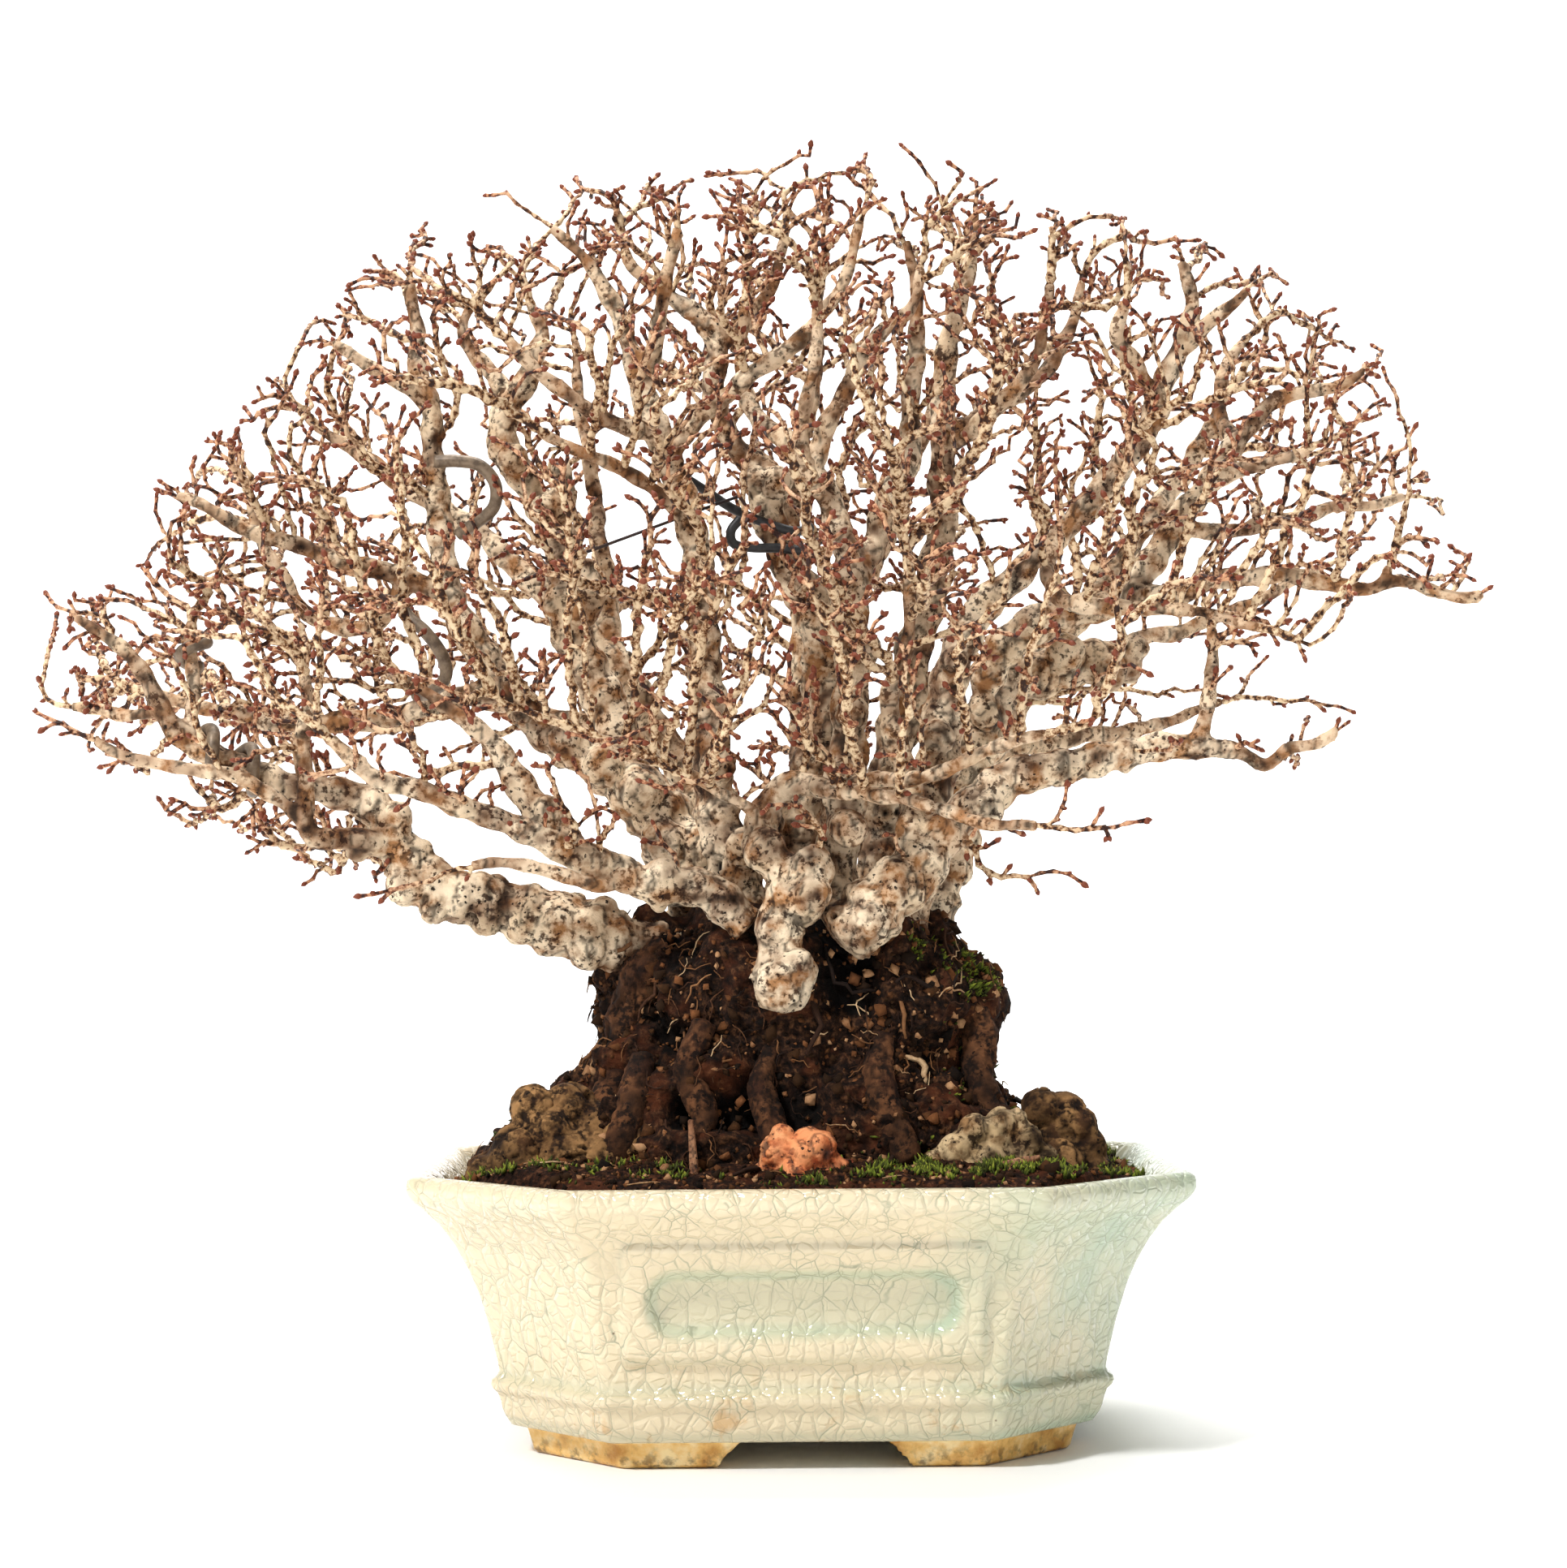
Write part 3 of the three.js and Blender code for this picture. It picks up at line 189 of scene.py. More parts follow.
        ((47, 15, 306.5, 3.2), (57.5, 19, 314.5, 3), (70, 23, 322, 2.9), (81.5, 26, 332, 2.7),
         (89.5, 29, 345, 2.3), (93.5, 31, 358, 1.9), (99, 33, 376, 1.2)),
        ((52, 15, 349, 1.8), (51.5, 9, 360, 1.5), (49.5, 5, 374, 1.3), (43, 2, 388.5, 1.1),
         (34, 0, 398, 0.9)),
        ((47, 15, 305.5, 3), (57.5, 7, 311, 2.8), (70, 2, 322.5, 2.5), (77, -2, 336.5, 2.1),
         (79.5, -5, 351, 1.7), (80, -8, 369, 1.1)),
    ),
    "trunk_right_leaning": (
        ((31.5, -12, 150, 7.6), (37.5, -12, 177.5, 7.2), (43, -12, 204.5, 6.8),
         (47, -12, 229, 6.2), (53, -12, 245, 5.6), (61, -13, 254.5, 5), (70.5, -14, 263.5, 4.4),
         (79.5, -15, 272, 4), (88, -16, 280.5, 4), (97, -17, 290.5, 4.4), (104.5, -18, 301, 4.4),
         (110.5, -19, 313.5, 4), (116, -20, 326, 3.4), (120.5, -21, 338.5, 2.8),
         (120.5, -22, 350, 2.2), (116.5, -23, 359.5, 1.3)),
        ((111, -19, 314.5, 3), (104.5, -26, 323, 2.6), (97, -31, 331.5, 2.2),
         (100.5, -35, 342.5, 1.7), (100, -38, 357, 1.2)),
        ((117, -20, 328, 2.7), (125.5, -26, 336.5, 2.4), (133.5, -31, 343, 1.9),
         (140.5, -35, 348, 1.2)),
        ((79.5, -15, 272, 2.8), (76.5, -24, 261, 2.7), (78.5, -32, 252.5, 2.6),
         (90.5, -38, 249, 2.5), (106, -43, 247.5, 2.2), (122.5, -47, 245, 1.8),
         (139, -50, 240, 1.5), (152.5, -52, 235, 1)),
    ),
    "trunk_right_spreading": (
        ((41, 14, 150, 8), (48, 15, 175.5, 8.4), (53, 16, 196.5, 8), (58.5, 17, 215, 7.8),
         (67.5, 18, 228.5, 7.6), (81, 19, 234.5, 7.4), (95.5, 20, 238, 7), (109, 21, 237, 5.6)),
        ((58.5, 17, 216, 6), (63, 10, 237, 6), (75, 8, 248, 5.8), (89, 8, 253, 5.4),
         (103, 8, 256, 5), (112, 8, 268, 4.5), (120, 8, 280, 4.2), (129.5, 8, 292, 3.9),
         (138.5, 8, 304.5, 3.5), (148.5, 8, 315.5, 2.9), (160.5, 8, 321.5, 2.3),
         (172.5, 7, 324.5, 1.9), (184.5, 6, 331, 1.2)),
        ((102, 8, 256, 3.6), (116.5, 2, 257, 3.4), (131.5, -2, 260, 3.2), (147, -5, 262.5, 3),
         (162.5, -8, 259, 2.7), (176, -10, 257, 2.4), (186, -12, 259.5, 2.1),
         (196.5, -14, 255.5, 1.9), (206, -15, 253.5, 1.7), (214, -16, 256, 1.3)),
        ((120, 8, 279, 3), (134, 13, 277.5, 2.8), (149, 17, 280.5, 2.5), (165, 20, 285, 2.3),
         (182, 22, 287, 1.9), (195.5, 24, 290.5, 1.6), (206, 25, 289.5, 1.1)),
        ((130.5, 8, 293, 3), (142.5, 2, 297.5, 2.6), (155.5, -2, 298.5, 1.9), (169, -5, 305, 1.1)),
        ((139.5, 8, 305.5, 2.8), (135.5, 16, 317, 2.5), (138.5, 22, 330, 2.1),
         (145.5, 26, 341.5, 1.6), (154.5, 29, 351, 1.1)),
        ((180.5, -11, 258.5, 1.6), (185, -14, 270, 1.5), (187.5, -16, 284.5, 1.4),
         (189, -17, 299, 1.1), (186, -18, 307, 0.9)),
    ),
    "trunk_low_right": (
        ((11.5, -42, 150.5, 9.5), (18.5, -42, 157, 10), (30, -40, 166.5, 8.6), (40.5, -37, 177, 7),
         (48.5, -35, 186, 6.2), (56, -34, 192.5, 6.2), (68, -33, 198.5, 5.8),
         (80.5, -32, 201.5, 5.2), (94, -31, 204.5, 4.8), (107.5, -30, 206.5, 4.3),
         (121.5, -29, 207.5, 3.7), (133, -29, 205.5, 2.6), (140.5, -29, 201.5, 2.2),
         (147.5, -30, 206.5, 2), (156.5, -31, 208, 1.8), (166, -32, 215, 1.1)),
        ((120.5, -29, 208.5, 2.8), (123.5, -27, 222, 2.3), (125, -25, 236, 1.9),
         (125, -24, 247.5, 1.2)),
        ((45.5, -36, 183, 2), (51, -42, 177, 1.7), (55.5, -45, 169.5, 1.5),
         (65.5, -47, 167.5, 1.3), (75, -48, 169.5, 1.1), (84, -49, 166.5, 0.9)),
        ((31, -40, 167.5, 5), (33, -36, 182, 4.6), (33, -34, 196.5, 4), (29.5, -34, 209, 3.6),
         (28, -36, 223.5, 3), (32, -39, 236.5, 2.5), (33.5, -42, 251.5, 2), (30.5, -45, 270, 1.3)),
    ),
    "trunk_front": (
        ((-5.5, -47, 131, 6), (-5.5, -48, 135.5, 9.2), (-5, -48, 141, 9.4),
         (-6.5, -47, 147.5, 7.2), (-6.5, -46, 156, 7), (0, -46, 165.5, 8), (4, -47, 173, 6),
         (6, -49, 177, 3)),
        ((2, -47, 167.5, 6), (-9, -40, 174.5, 5.6), (-11, -35, 185, 5.2), (-5.5, -34, 193.5, 4.4),
         (3.5, -38, 195.5, 3.4), (10.5, -46, 194, 2.5), (23.5, -54, 192, 2.1), (38, -60, 188, 1.9),
         (52, -65, 184, 1.9), (67, -69, 182, 1.6), (83.5, -72, 182, 1.4), (97.5, -74, 184, 1.1)),
        ((2.5, -38, 195.5, 2.4), (13, -40, 196, 2.3), (26, -44, 197, 2.2), (39, -50, 198.5, 2.1),
         (50, -55, 203, 2), (61.5, -58, 207.5, 1.8), (73.5, -61, 210, 1.5), (83.5, -63, 213, 1.1)),
        ((-11, -36, 187, 2), (-23.5, -44, 195, 1.7), (-38.5, -50, 201.5, 1.5),
         (-54, -55, 208, 1.4), (-70.5, -60, 213, 1.2), (-86, -64, 219.5, 0.9)),
    ),
    "trunk_back_left": (
        ((-12, 40, 149.5, 7), (-24.5, 48, 181, 6.4), (-39.5, 56, 211, 5.8), (-59, 62, 239.5, 5.2),
         (-81, 68, 263.5, 4.5), (-103, 72, 284.5, 3.7), (-127, 76, 302.5, 2.7),
         (-151.5, 79, 318, 1.4)),
        ((-59, 62, 239.5, 3.6), (-61.5, 70, 266, 3.4), (-66.5, 77, 295, 3), (-71, 84, 326.5, 2.4),
         (-75.5, 88, 362.5, 1.3)),
        ((-38.5, 56, 210, 3.6), (-63.5, 66, 220.5, 3.2), (-94.5, 75, 227.5, 2.7),
         (-128, 82, 236.5, 2.1), (-161.5, 88, 250.5, 1.2)),
    ),
    "trunk_back_centre": (
        ((9, 40, 149.5, 7), (6, 50, 183.5, 6.4), (3, 58, 217.5, 5.8), (5.5, 66, 252.5, 5),
         (-1, 72, 285.5, 4.2), (3.5, 78, 319, 3.2), (10, 82, 355, 2.2), (8, 84, 392.5, 1.2)),
        ((4, 64, 244, 3.8), (25, 74, 270.5, 3.3), (38.5, 82, 302.5, 2.7), (50, 88, 338.5, 2),
         (59, 92, 376.5, 1.2)),
    ),
    "trunk_back_right": (
        ((30, 38, 149.5, 7.4), (45, 46, 181, 6.8), (62.5, 54, 211, 6), (82.5, 62, 239.5, 5.2),
         (102.5, 68, 265.5, 4.4), (122.5, 73, 292.5, 3.5), (140.5, 77, 319, 2.5),
         (156, 80, 345.5, 1.2)),
        ((82.5, 62, 239.5, 3.6), (109.5, 72, 246.5, 3.2), (139, 80, 256, 2.6),
         (168.5, 87, 268, 1.9), (196, 92, 284, 1.1)),
        ((61.5, 54, 210, 3.6), (91, 64, 215, 3.1), (122.5, 73, 220.5, 2.4), (152, 80, 232, 1.2)),
    ),
}

# Burls, knots and cut stubs that stand out on the trunks: (x, y, z, radius).
BURLS: dict[str, tuple[Station, ...]] = {
    "trunk_low_left": (
        (-63, -20, 147.5, 7), (-78.5, -19, 156, 6), (-96, -20, 166, 5.5), (-109.5, -21, 160, 5),
        (-118.5, -22, 167, 6), (-121, -22, 187.5, 5), (-132.5, -26, 177.5, 4),
        (-94.5, -18, 158, 6)),
    "trunk_second_left": (
        (-40.5, -43, 169.5, 5.5), (-58.5, -46, 172.5, 4.6), (-74.5, -46, 188.5, 5)),
    "trunk_left_main": (
        (-30, -2, 178, 8), (-41, -4, 180, 8), (-48, -3, 196, 7), (-60, -2, 204, 6.5),
        (-72, -1, 213, 6), (-84, 0, 222, 5.5), (-36, -4, 168, 8)),
    "trunk_left_dark": ((-67.5, 21, 254, 5.5), (-79.5, 19, 286.5, 5), (-89.5, 18, 303, 5)),
    "trunk_centre_left": ((-16, -20, 177.5, 7), (-10, -18, 185.5, 6), (-24, -19, 203, 6)),
    "trunk_centre_dark": ((-6, 6, 293, 5.5), (-13, 7, 295, 4.5), (5, 8, 257, 6)),
    "trunk_centre_pale": ((16.5, -20, 218.5, 5.5), (21.5, -18, 238.5, 5), (13.5, -19, 199, 6)),
    "trunk_right_leaning": ((43, -19, 211, 5.5), (47.5, -18, 234.5, 5), (101, -22, 296.5, 4.4)),
    "trunk_right_spreading": (
        (59, 12, 221, 6.5), (85.5, 14, 239.5, 6), (100, 15, 233, 6), (108.5, 17, 241.5, 4.5)),
    "trunk_low_right": ((20, -48, 156, 7), (27.5, -46, 164, 6), (55, -38, 188.5, 5.5)),
    "trunk_front": (
        (-8.5, -52, 138, 5), (-0.5, -53, 143, 4.6), (-9, -50, 153, 4.5), (3, -52, 163.5, 6),
        (-10, -44, 177, 7), (14.5, -42, 183, 6)),
}

# Silhouette of the crown seen from the front, anticlockwise from the lower right: (x, z).
CROWN_OUTLINE: tuple[tuple[float, float], ...] = (
    (92, 166), (110, 186), (150, 196), (175, 217), (166, 224), (152, 232), (166, 240), (190, 252),
    (219, 258), (204, 270), (202, 281), (200, 290), (194, 304), (184, 317), (184, 330),
    (166, 340), (148, 357), (131, 364), (119, 366), (106, 368), (102, 372), (82, 374), (66, 378),
    (58, 388), (46, 386), (40, 381), (26, 391), (12, 395), (-2, 387), (-17, 388), (-29, 391),
    (-37, 386), (-52, 382), (-72, 386), (-80, 366), (-91, 366), (-118, 369), (-130, 358),
    (-140, 354), (-147, 346), (-159, 326), (-173, 313), (-186, 304), (-200, 293), (-196, 276),
    (-203, 266), (-213, 262), (-232, 257), (-236, 242), (-238, 222), (-222, 206), (-198, 190),
    (-166, 177), (-134, 158), (-60, 160), (0, 172), (50, 166),
)
CROWN_CORE = (-2.0, 190.0)
CROWN_FOOT = [CROWN_CORE[0], 0, 140]
CROWN_HALF_DEPTH = 112.0
VIEW_FROM = (-13.1, -871.4, 159.6)
SENSOR_MM = 36.0
TINY = 1e-9


# ---------------------------------------------------------------- arrays and meshes


def to_frame(points: Array) -> Array:
    """Move pot-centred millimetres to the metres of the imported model."""
    return (points + POT_MIDDLE) / 1000.0


def unit(vectors: Array) -> Array:
    """Scale vectors to length one."""
    return vectors / np.maximum(np.linalg.norm(vectors, axis=-1, keepdims=True), TINY)


def grid_faces(rows: int, columns: int, wrap: bool = True) -> Array:
    """Quads of a grid of points listed row by row.

    Args:
        rows: number of rows of points.
        columns: number of points in a row.
        wrap: whether the last column joins the first one.

    Returns:
        Corner indexes, four to a face: (r, c), (r, c+1), (r+1, c+1), (r+1, c).
    """
    row, column = np.meshgrid(
        np.arange(rows - 1), np.arange(columns if wrap else columns - 1), indexing="ij")
    after = (column + 1) % columns
    corners = (row * columns + column, row * columns + after,
               (row + 1) * columns + after, (row + 1) * columns + column)
    return np.stack(corners, axis=-1).reshape(-1, 4)


def join(shells: Sequence[Shell]) -> Shell:
    """Put several shells into one list of points and one of quads."""
    starts = np.cumsum([0] + [len(points) for points, _ in shells[:-1]])
    points = np.concatenate([points for points, _ in shells])
    faces = np.concatenate([faces + start for (_, faces), start in zip(shells, starts)])
    return points, faces


def cross_frame(tangents: Array) -> tuple[Array, Array]:
    """Two directions across a path that turn as little as they can.

    The first is the direction least used by the path, with its part along the path taken out;
    the second is the cross product of the path and the first.
    """
    _, axes = np.linalg.eigh(tangents.T @ tangents)
    across = axes[:, 0]
    side = unit(across - (tangents @ across)[:, None] * tangents)
    return side, np.cross(tangents, side)


def bar(path: Array, radii: Array, sides: int) -> Shell:
    """A closed round bar: point(k, a) = path(k) + radius(k) (cos a side + sin a other).

    Each end closes in one point that stands out by a quarter of the radius.

    Args:
        path: points along the middle.
        radii: radius at each point.
        sides: points round the bar.

    Returns:
        Points and quads; the quads at the two ends repeat their pole.
    """
    tangents = unit(np.gradient(path, axis=0))
    side, other = cross_frame(tangents)
    turn = np.arange(sides) / sides * 2 * np.pi
    rings = (path[:, None] + radii[:, None, None] * (
        np.cos(turn)[None, :, None] * side[:, None] + np.sin(turn)[None, :, None] * other[:, None]))
    first = path[0] - 0.25 * radii[0] * tangents[0]
    last = path[-1] + 0.25 * radii[-1] * tangents[-1]
    rings = np.concatenate([np.tile(first, (1, sides, 1)), rings, np.tile(last, (1, sides, 1))])
    return rings.reshape(-1, 3), grid_faces(len(path) + 2, sides)


def ball(station: Station, rows: int = 9, sides: int = 12) -> Shell:
    """A ball: point(p, a) = middle + radius (sin p cos a, sin p sin a, -cos p)."""
    pitch = np.linspace(0, np.pi, rows)[:, None]
    turn = np.arange(sides)[None, :] / sides * 2 * np.pi
    around = np.stack([np.sin(pitch) * np.cos(turn), np.sin(pitch) * np.sin(turn),
                       -np.cos(pitch) * np.ones_like(turn)], axis=-1)
    return np.array(station[:3]) + station[3] * around.reshape(-1, 3), grid_faces(rows, sides)


def smooth_route(stations: Sequence[Sequence[float]], spacing: float) -> Array:
    """Even stations on the smooth curve through given ones.

    Each span is a Catmull-Rom cubic of its four nearest stations; the result is read off at
    equal distances along the curve.

    Args:
        stations: rows of x, y, z and radius.
        spacing: distance wanted between stations, in millimetres.

    Returns:
        Rows of x, y, z and radius.
    """
    knots = np.array(stations, float)
    ends = [2 * knots[0] - knots[1], 2 * knots[-1] - knots[-2]]
    padded = np.vstack([ends[0], knots, ends[1]])
    padded[:, 3] = np.maximum(padded[:, 3], 0.1)
    t = np.linspace(0, len(knots) - 1, 12 * len(knots))
    span = np.minimum(t.astype(int), len(knots) - 2)
    u = (t - span)[:, None]
    a, b, c, d = (padded[span + k] for k in range(4))
    dense = 0.5 * (2 * b + (c - a) * u + (2 * a - 5 * b + 4 * c - d) * u**2
                   + (3 * b - a - 3 * c + d) * u**3)
    length = np.r_[0, np.cumsum(np.linalg.norm(np.diff(dense[:, :3], axis=0), axis=1))]
    count = max(int(round(length[-1] / spacing)) + 1, 3)
    at = np.linspace(0, length[-1], count)
    return np.stack([np.interp(at, length, dense[:, k]) for k in range(4)], axis=1)


def link_object(name: str, data: bpy.types.ID) -> bpy.types.Object:
    """A new object in the scene, at the origin."""
    made = bpy.data.objects.new(name, data)
    bpy.context.scene.collection.objects.link(made)
    return made


def plain_mesh(name: str, points: Array, faces: Array) -> bpy.types.Mesh:
    """A mesh from points, in metres or millimetres as given, and faces."""
    mesh = bpy.data.meshes.new(name)
    mesh.from_pydata(points.tolist(), [], faces.tolist())
    return mesh


def make_piece(name: str, shell: Shell, finishes: Sequence["Finish"],
               nodes: Sequence[str] = (), marks: dict[str, Array] | None = None,
               finish_of_face: Array | None = None) -> bpy.types.Object:
    """Put a shell into a mesh object that rides on the frame.

    Points that share a place are merged, so that poles and seams are closed.

    Args:
        name: name of the piece.
        shell: points in pot-centred millimetres, and quads or triangles.
        finishes: finishes in the order that ``finish_of_face`` counts them.
        nodes: CAD nodes that the piece stands for.
        marks: one number for each point under the name that a finish reads.
        finish_of_face: which finish each face has, or the first everywhere.

    Returns:
        The new object.
    """
    points, faces = shell
    mesh = bpy.data.meshes.new(name)
    mesh.vertices.add(len(points))
    mesh.vertices.foreach_set("co", to_frame(points).astype(np.float32).ravel())
    corners = faces.shape[1]
    mesh.loops.add(faces.size)
    mesh.loops.foreach_set("vertex_index", faces.astype(np.int32).ravel())
    mesh.polygons.add(len(faces))
    mesh.polygons.foreach_set("loop_start", np.arange(0, faces.size, corners, dtype=np.int32))
    if finish_of_face is not None:
        mesh.polygons.foreach_set("material_index", finish_of_face.astype(np.int32))
    mesh.update(calc_edges=True)
    for mark, values in (marks or {}).items():
        layer = mesh.attributes.new(mark, "FLOAT", "POINT")
        layer.data.foreach_set("value", values.astype(np.float32))
    mesh.validate()
    mesh.polygons.foreach_set("use_smooth", np.ones(len(mesh.polygons), bool))
    for finish in finishes:
        mesh.materials.append(finish.material())
    piece = link_object(name, mesh)
    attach(piece, "root")
    if nodes:
        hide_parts(*nodes)
    log.info("%s: %d points, %d faces", name, len(mesh.vertices), len(mesh.polygons))
    return piece


def close_poles(shell: Shell) -> Shell:
    """Merge points within a micrometre, cut quads in two and drop triangles without area."""
    points, faces = shell
    _, first, same = np.unique(np.round(points, 3), axis=0, return_index=True, return_inverse=True)
    faces = same.reshape(-1)[faces]
    if faces.shape[1] == 4:
        faces = np.concatenate([faces[:, [0, 1, 2]], faces[:, [0, 2, 3]]])
    whole = ((faces[:, 0] != faces[:, 1]) & (faces[:, 1] != faces[:, 2])
             & (faces[:, 2] != faces[:, 0]))
    return points[first], faces[whole]


def point_normals(shell: Shell) -> Array:
    """Normal at each point: the sum of the cross products of its faces, made one long."""
    points, faces = shell
    cross = np.cross(points[faces[:, 1]] - points[faces[:, 0]],
                     points[faces[:, 2]] - points[faces[:, 0]])
    total = np.stack([
        sum(np.bincount(faces[:, k], cross[:, axis], len(points)) for k in range(faces.shape[1]))
        for axis in range(3)], axis=1)
    return unit(total)


def melt(shell: Shell, voxel: float) -> Shell:
    """Melt overlapping closed shells into one even skin of small quads.

    Args:
        shell: points and quads of all the shells, in millimetres.
        voxel: edge of the quads, in millimetres.

    Returns:
        Points and quads of the skin.
    """
    points, faces = close_poles(shell)
    mesh = plain_mesh("melt", points, faces)
    carrier = link_object("melt", mesh)
    remesh = carrier.modifiers.new("melt", "REMESH")
    remesh.mode = "VOXEL"
    remesh.voxel_size = voxel
    remesh.adaptivity = 0.0
    skin = carrier.evaluated_get(bpy.context.evaluated_depsgraph_get()).to_mesh()
    places = np.empty(len(skin.vertices) * 3, np.float32)
    skin.vertices.foreach_get("co", places)
    corners = np.empty(len(skin.loops), np.int32)
    skin.loops.foreach_get("vertex_index", corners)
    bpy.data.objects.remove(carrier)
    bpy.data.meshes.remove(mesh)
    return places.reshape(-1, 3).astype(float), corners.reshape(-1, 4)


def nearest(points: Array, targets: Array) -> Array:
    """Index of the target nearest to each point, by squared distance in blocks of points."""
    found = np.empty(len(points), int)
    size = np.sum(targets**2, axis=1)
    for start in range(0, len(points), 8192):
        block = points[start:start + 8192]
        found[start:start + 8192] = np.argmin(size - 2 * block @ targets.T, axis=1)
    return found


@dataclass(frozen=True)
class Noise:
    """Repeatable noise in space, on whole arrays of points in millimetres."""

    seed: int

    def lattice(self, cell: Array) -> Array:
        """A number from 0 to 1 for each whole-number cell, from a product of large primes."""
        index = cell.astype(np.int64) & 0xFFFFFFFF
        mixed = (index[..., 0] * 73856093) ^ (index[..., 1] * 19349663) ^ (index[..., 2] * 83492791)
        mixed = (mixed ^ (self.seed * 7919)) & 0xFFFFFFFF
        mixed = ((mixed ^ (mixed >> 13)) * 1540483477) & 0xFFFFFFFF
        mixed = ((mixed ^ (mixed >> 15)) * 668265263) & 0xFFFFFFFF
        return (mixed ^ (mixed >> 16)) / 2.0**32

    def waves(self, points: Array, size: float) -> Array:
        """Noise from -1 to 1: lattice numbers blended by 3f^2 - 2f^3 inside each cell."""
        place = points / size
        cell = np.floor(place)
        blend = place - cell
        blend = blend * blend * (3 - 2 * blend)
        total = np.zeros(points.shape[:-1])
        for corner in np.ndindex(2, 2, 2):
            pick = np.array(corner)
            weight = np.prod(np.where(pick, blend, 1 - blend), axis=-1)
            total += weight * self.lattice(cell + pick)
        return 2 * total - 1

    def fractal(self, points: Array, size: float, octaves: int) -> Array:
        """Sum of waves of half the size and half the height, octave by octave."""
        return sum(Noise(self.seed + k).waves(points, size / 2**k) / 2**k for k in range(octaves))

    def pits(self, points: Array, size: float, share: float) -> Array:
        """Round spots from 0 to 1 scattered one to a cell, in a share of the cells.

        The height is 1 - (distance to the spot's middle / its radius)^2, where the middle is a
        lattice number and the radius is 0.16 to 0.31 of a cell.

        Args:
            points: places in millimetres.
            size: width of a cell in millimetres.
            share: share of the cells that have a spot.

        Returns:
            Height at each place.
        """
        place = points / size
        home = np.floor(place)
        best = np.zeros(points.shape[:-1])
        for step in np.ndindex(3, 3, 3):
            cell = home + np.array(step) - 1
            middle = cell + np.stack(
                [Noise(self.seed + k).lattice(cell) for k in (1, 2, 3)], axis=-1)
            radius = 0.16 + 0.15 * Noise(self.seed + 4).lattice(cell)
            height = 1 - np.sum((place - middle)**2, axis=-1) / radius**2
            chosen = Noise(self.seed + 5).lattice(cell) < share
            best = np.maximum(best, np.where(chosen, height, 0))
        return best


# ---------------------------------------------------------------- finishes


def linear(colour: str) -> tuple[float, float, float, float]:
    """Linear red, green, blue and alpha of an sRGB hex colour such as "#a58d72"."""
    parts = np.array([int(colour[k:k + 2], 16) for k in (1, 3, 5)]) / 255
    low = parts <= 0.04045
    return (*np.where(low, parts / 12.92, ((parts + 0.055) / 1.055)**2.4).tolist(), 1.0)


def add_node(tree: bpy.types.NodeTree, kind: str, *inputs: object, out: int | str = 0,
             stops: Sequence[Tone] = (), **named: object) -> Socket | None:
    """Add one shader node with its settings and links.

    Args:
        tree: node tree that gets it.
        kind: Blender's name of the node, after "ShaderNode".
        inputs: for each input in turn, a socket to link, a value or hex colour to set, or None.
        out: number or name of the output that is wanted.
        stops: places and hex colours of a colour ramp.
        named: inputs by name where it has a capital, and otherwise the node's own settings.

    Returns:
        The output, where the node has any.
    """
    node = tree.nodes.new(f"ShaderNode{kind}")
    for name in [name for name in named if name[0].islower()]:
        setattr(node, name, named.pop(name))
    for key, value in (*enumerate(inputs), *named.items()):
        if isinstance(value, Socket):
            tree.links.new(value, node.inputs[key])
        elif value is not None:
            node.inputs[key].default_value = linear(value) if isinstance(value, str) else value
    for k, (place, colour) in enumerate(stops):
        ramp = node.color_ramp.elements
        stop = ramp[k] if k < 2 else ramp.new(place)
        stop.position, stop.color = place, linear(colour)
    return node.outputs[out] if len(node.outputs) else None


def coat(add: Adder, base: Socket | str, *layers: tuple) -> Socket:
    """Lay colours over a base in turn, each by a share from 0 to 1 and in its blend mode."""
    for share, colour, *mode in layers:
        base = add("Mix", share, *[None] * 5, base, colour, out=2, data_type="RGBA",
                   blend_type=mode[0] if mode else "MIX")
    return base


@dataclass(frozen=True)
class Finish:
    """A material made once and shared by the pieces that have it.

    Its clouds are noises from 0 to 1, each a patch width in millimetres and a detail. Its marks
    are attributes of the mesh.
    """

    name: str
    roughness: float
    metallic: float = 0.0
    specular: float = 0.5
    bump_mm: float = 0.0
    clouds: Clouds = ()
    marks: tuple[str, ...] = ()

    def material(self) -> bpy.types.Material:
        """The Blender material of this finish, made at its first use.

        Returns:
            The material.
        """
        found = bpy.data.materials.get(self.name)
        if found:
            return found
        made = bpy.data.materials.new(self.name)
        made.use_nodes = True
        made.node_tree.nodes.clear()
        add = partial(add_node, made.node_tree)
        place = add("Mapping", Vector=add("TexCoord", out="Object"), Scale=(1000.0,) * 3)
        clouds = [add("TexNoise", Vector=place, Scale=1 / wide, Detail=detail, Roughness=0.6)
                  for wide, detail in self.clouds]
        marks = [add("Attribute", out="Fac", attribute_name=mark) for mark in self.marks]
        base, height, rough = self.dress(add, place, *clouds, *marks)
        normal = None if height is None else add(
            "Bump", Height=height, Distance=self.bump_mm / 1000, Strength=1.0)
        shader = add("BsdfPrincipled", **{
            "Base Color": base, "Normal": normal, "Metallic": self.metallic,
            "Roughness": self.roughness if rough is None else rough,
            "Specular IOR Level": self.specular})
        add("OutputMaterial", Surface=shader)
        return made

    def dress(self, add: Adder, place: Socket, *patterns: Socket) -> Dressing:
        """The finish's own nodes.

        Args:
            add: adds a node to the material's tree.
            place: Object coordinates in millimetres.
            patterns: the clouds and then the marks.

        Returns:
            Colour, height of the bump and roughness; the last two may be None.
        """
        raise NotImplementedError


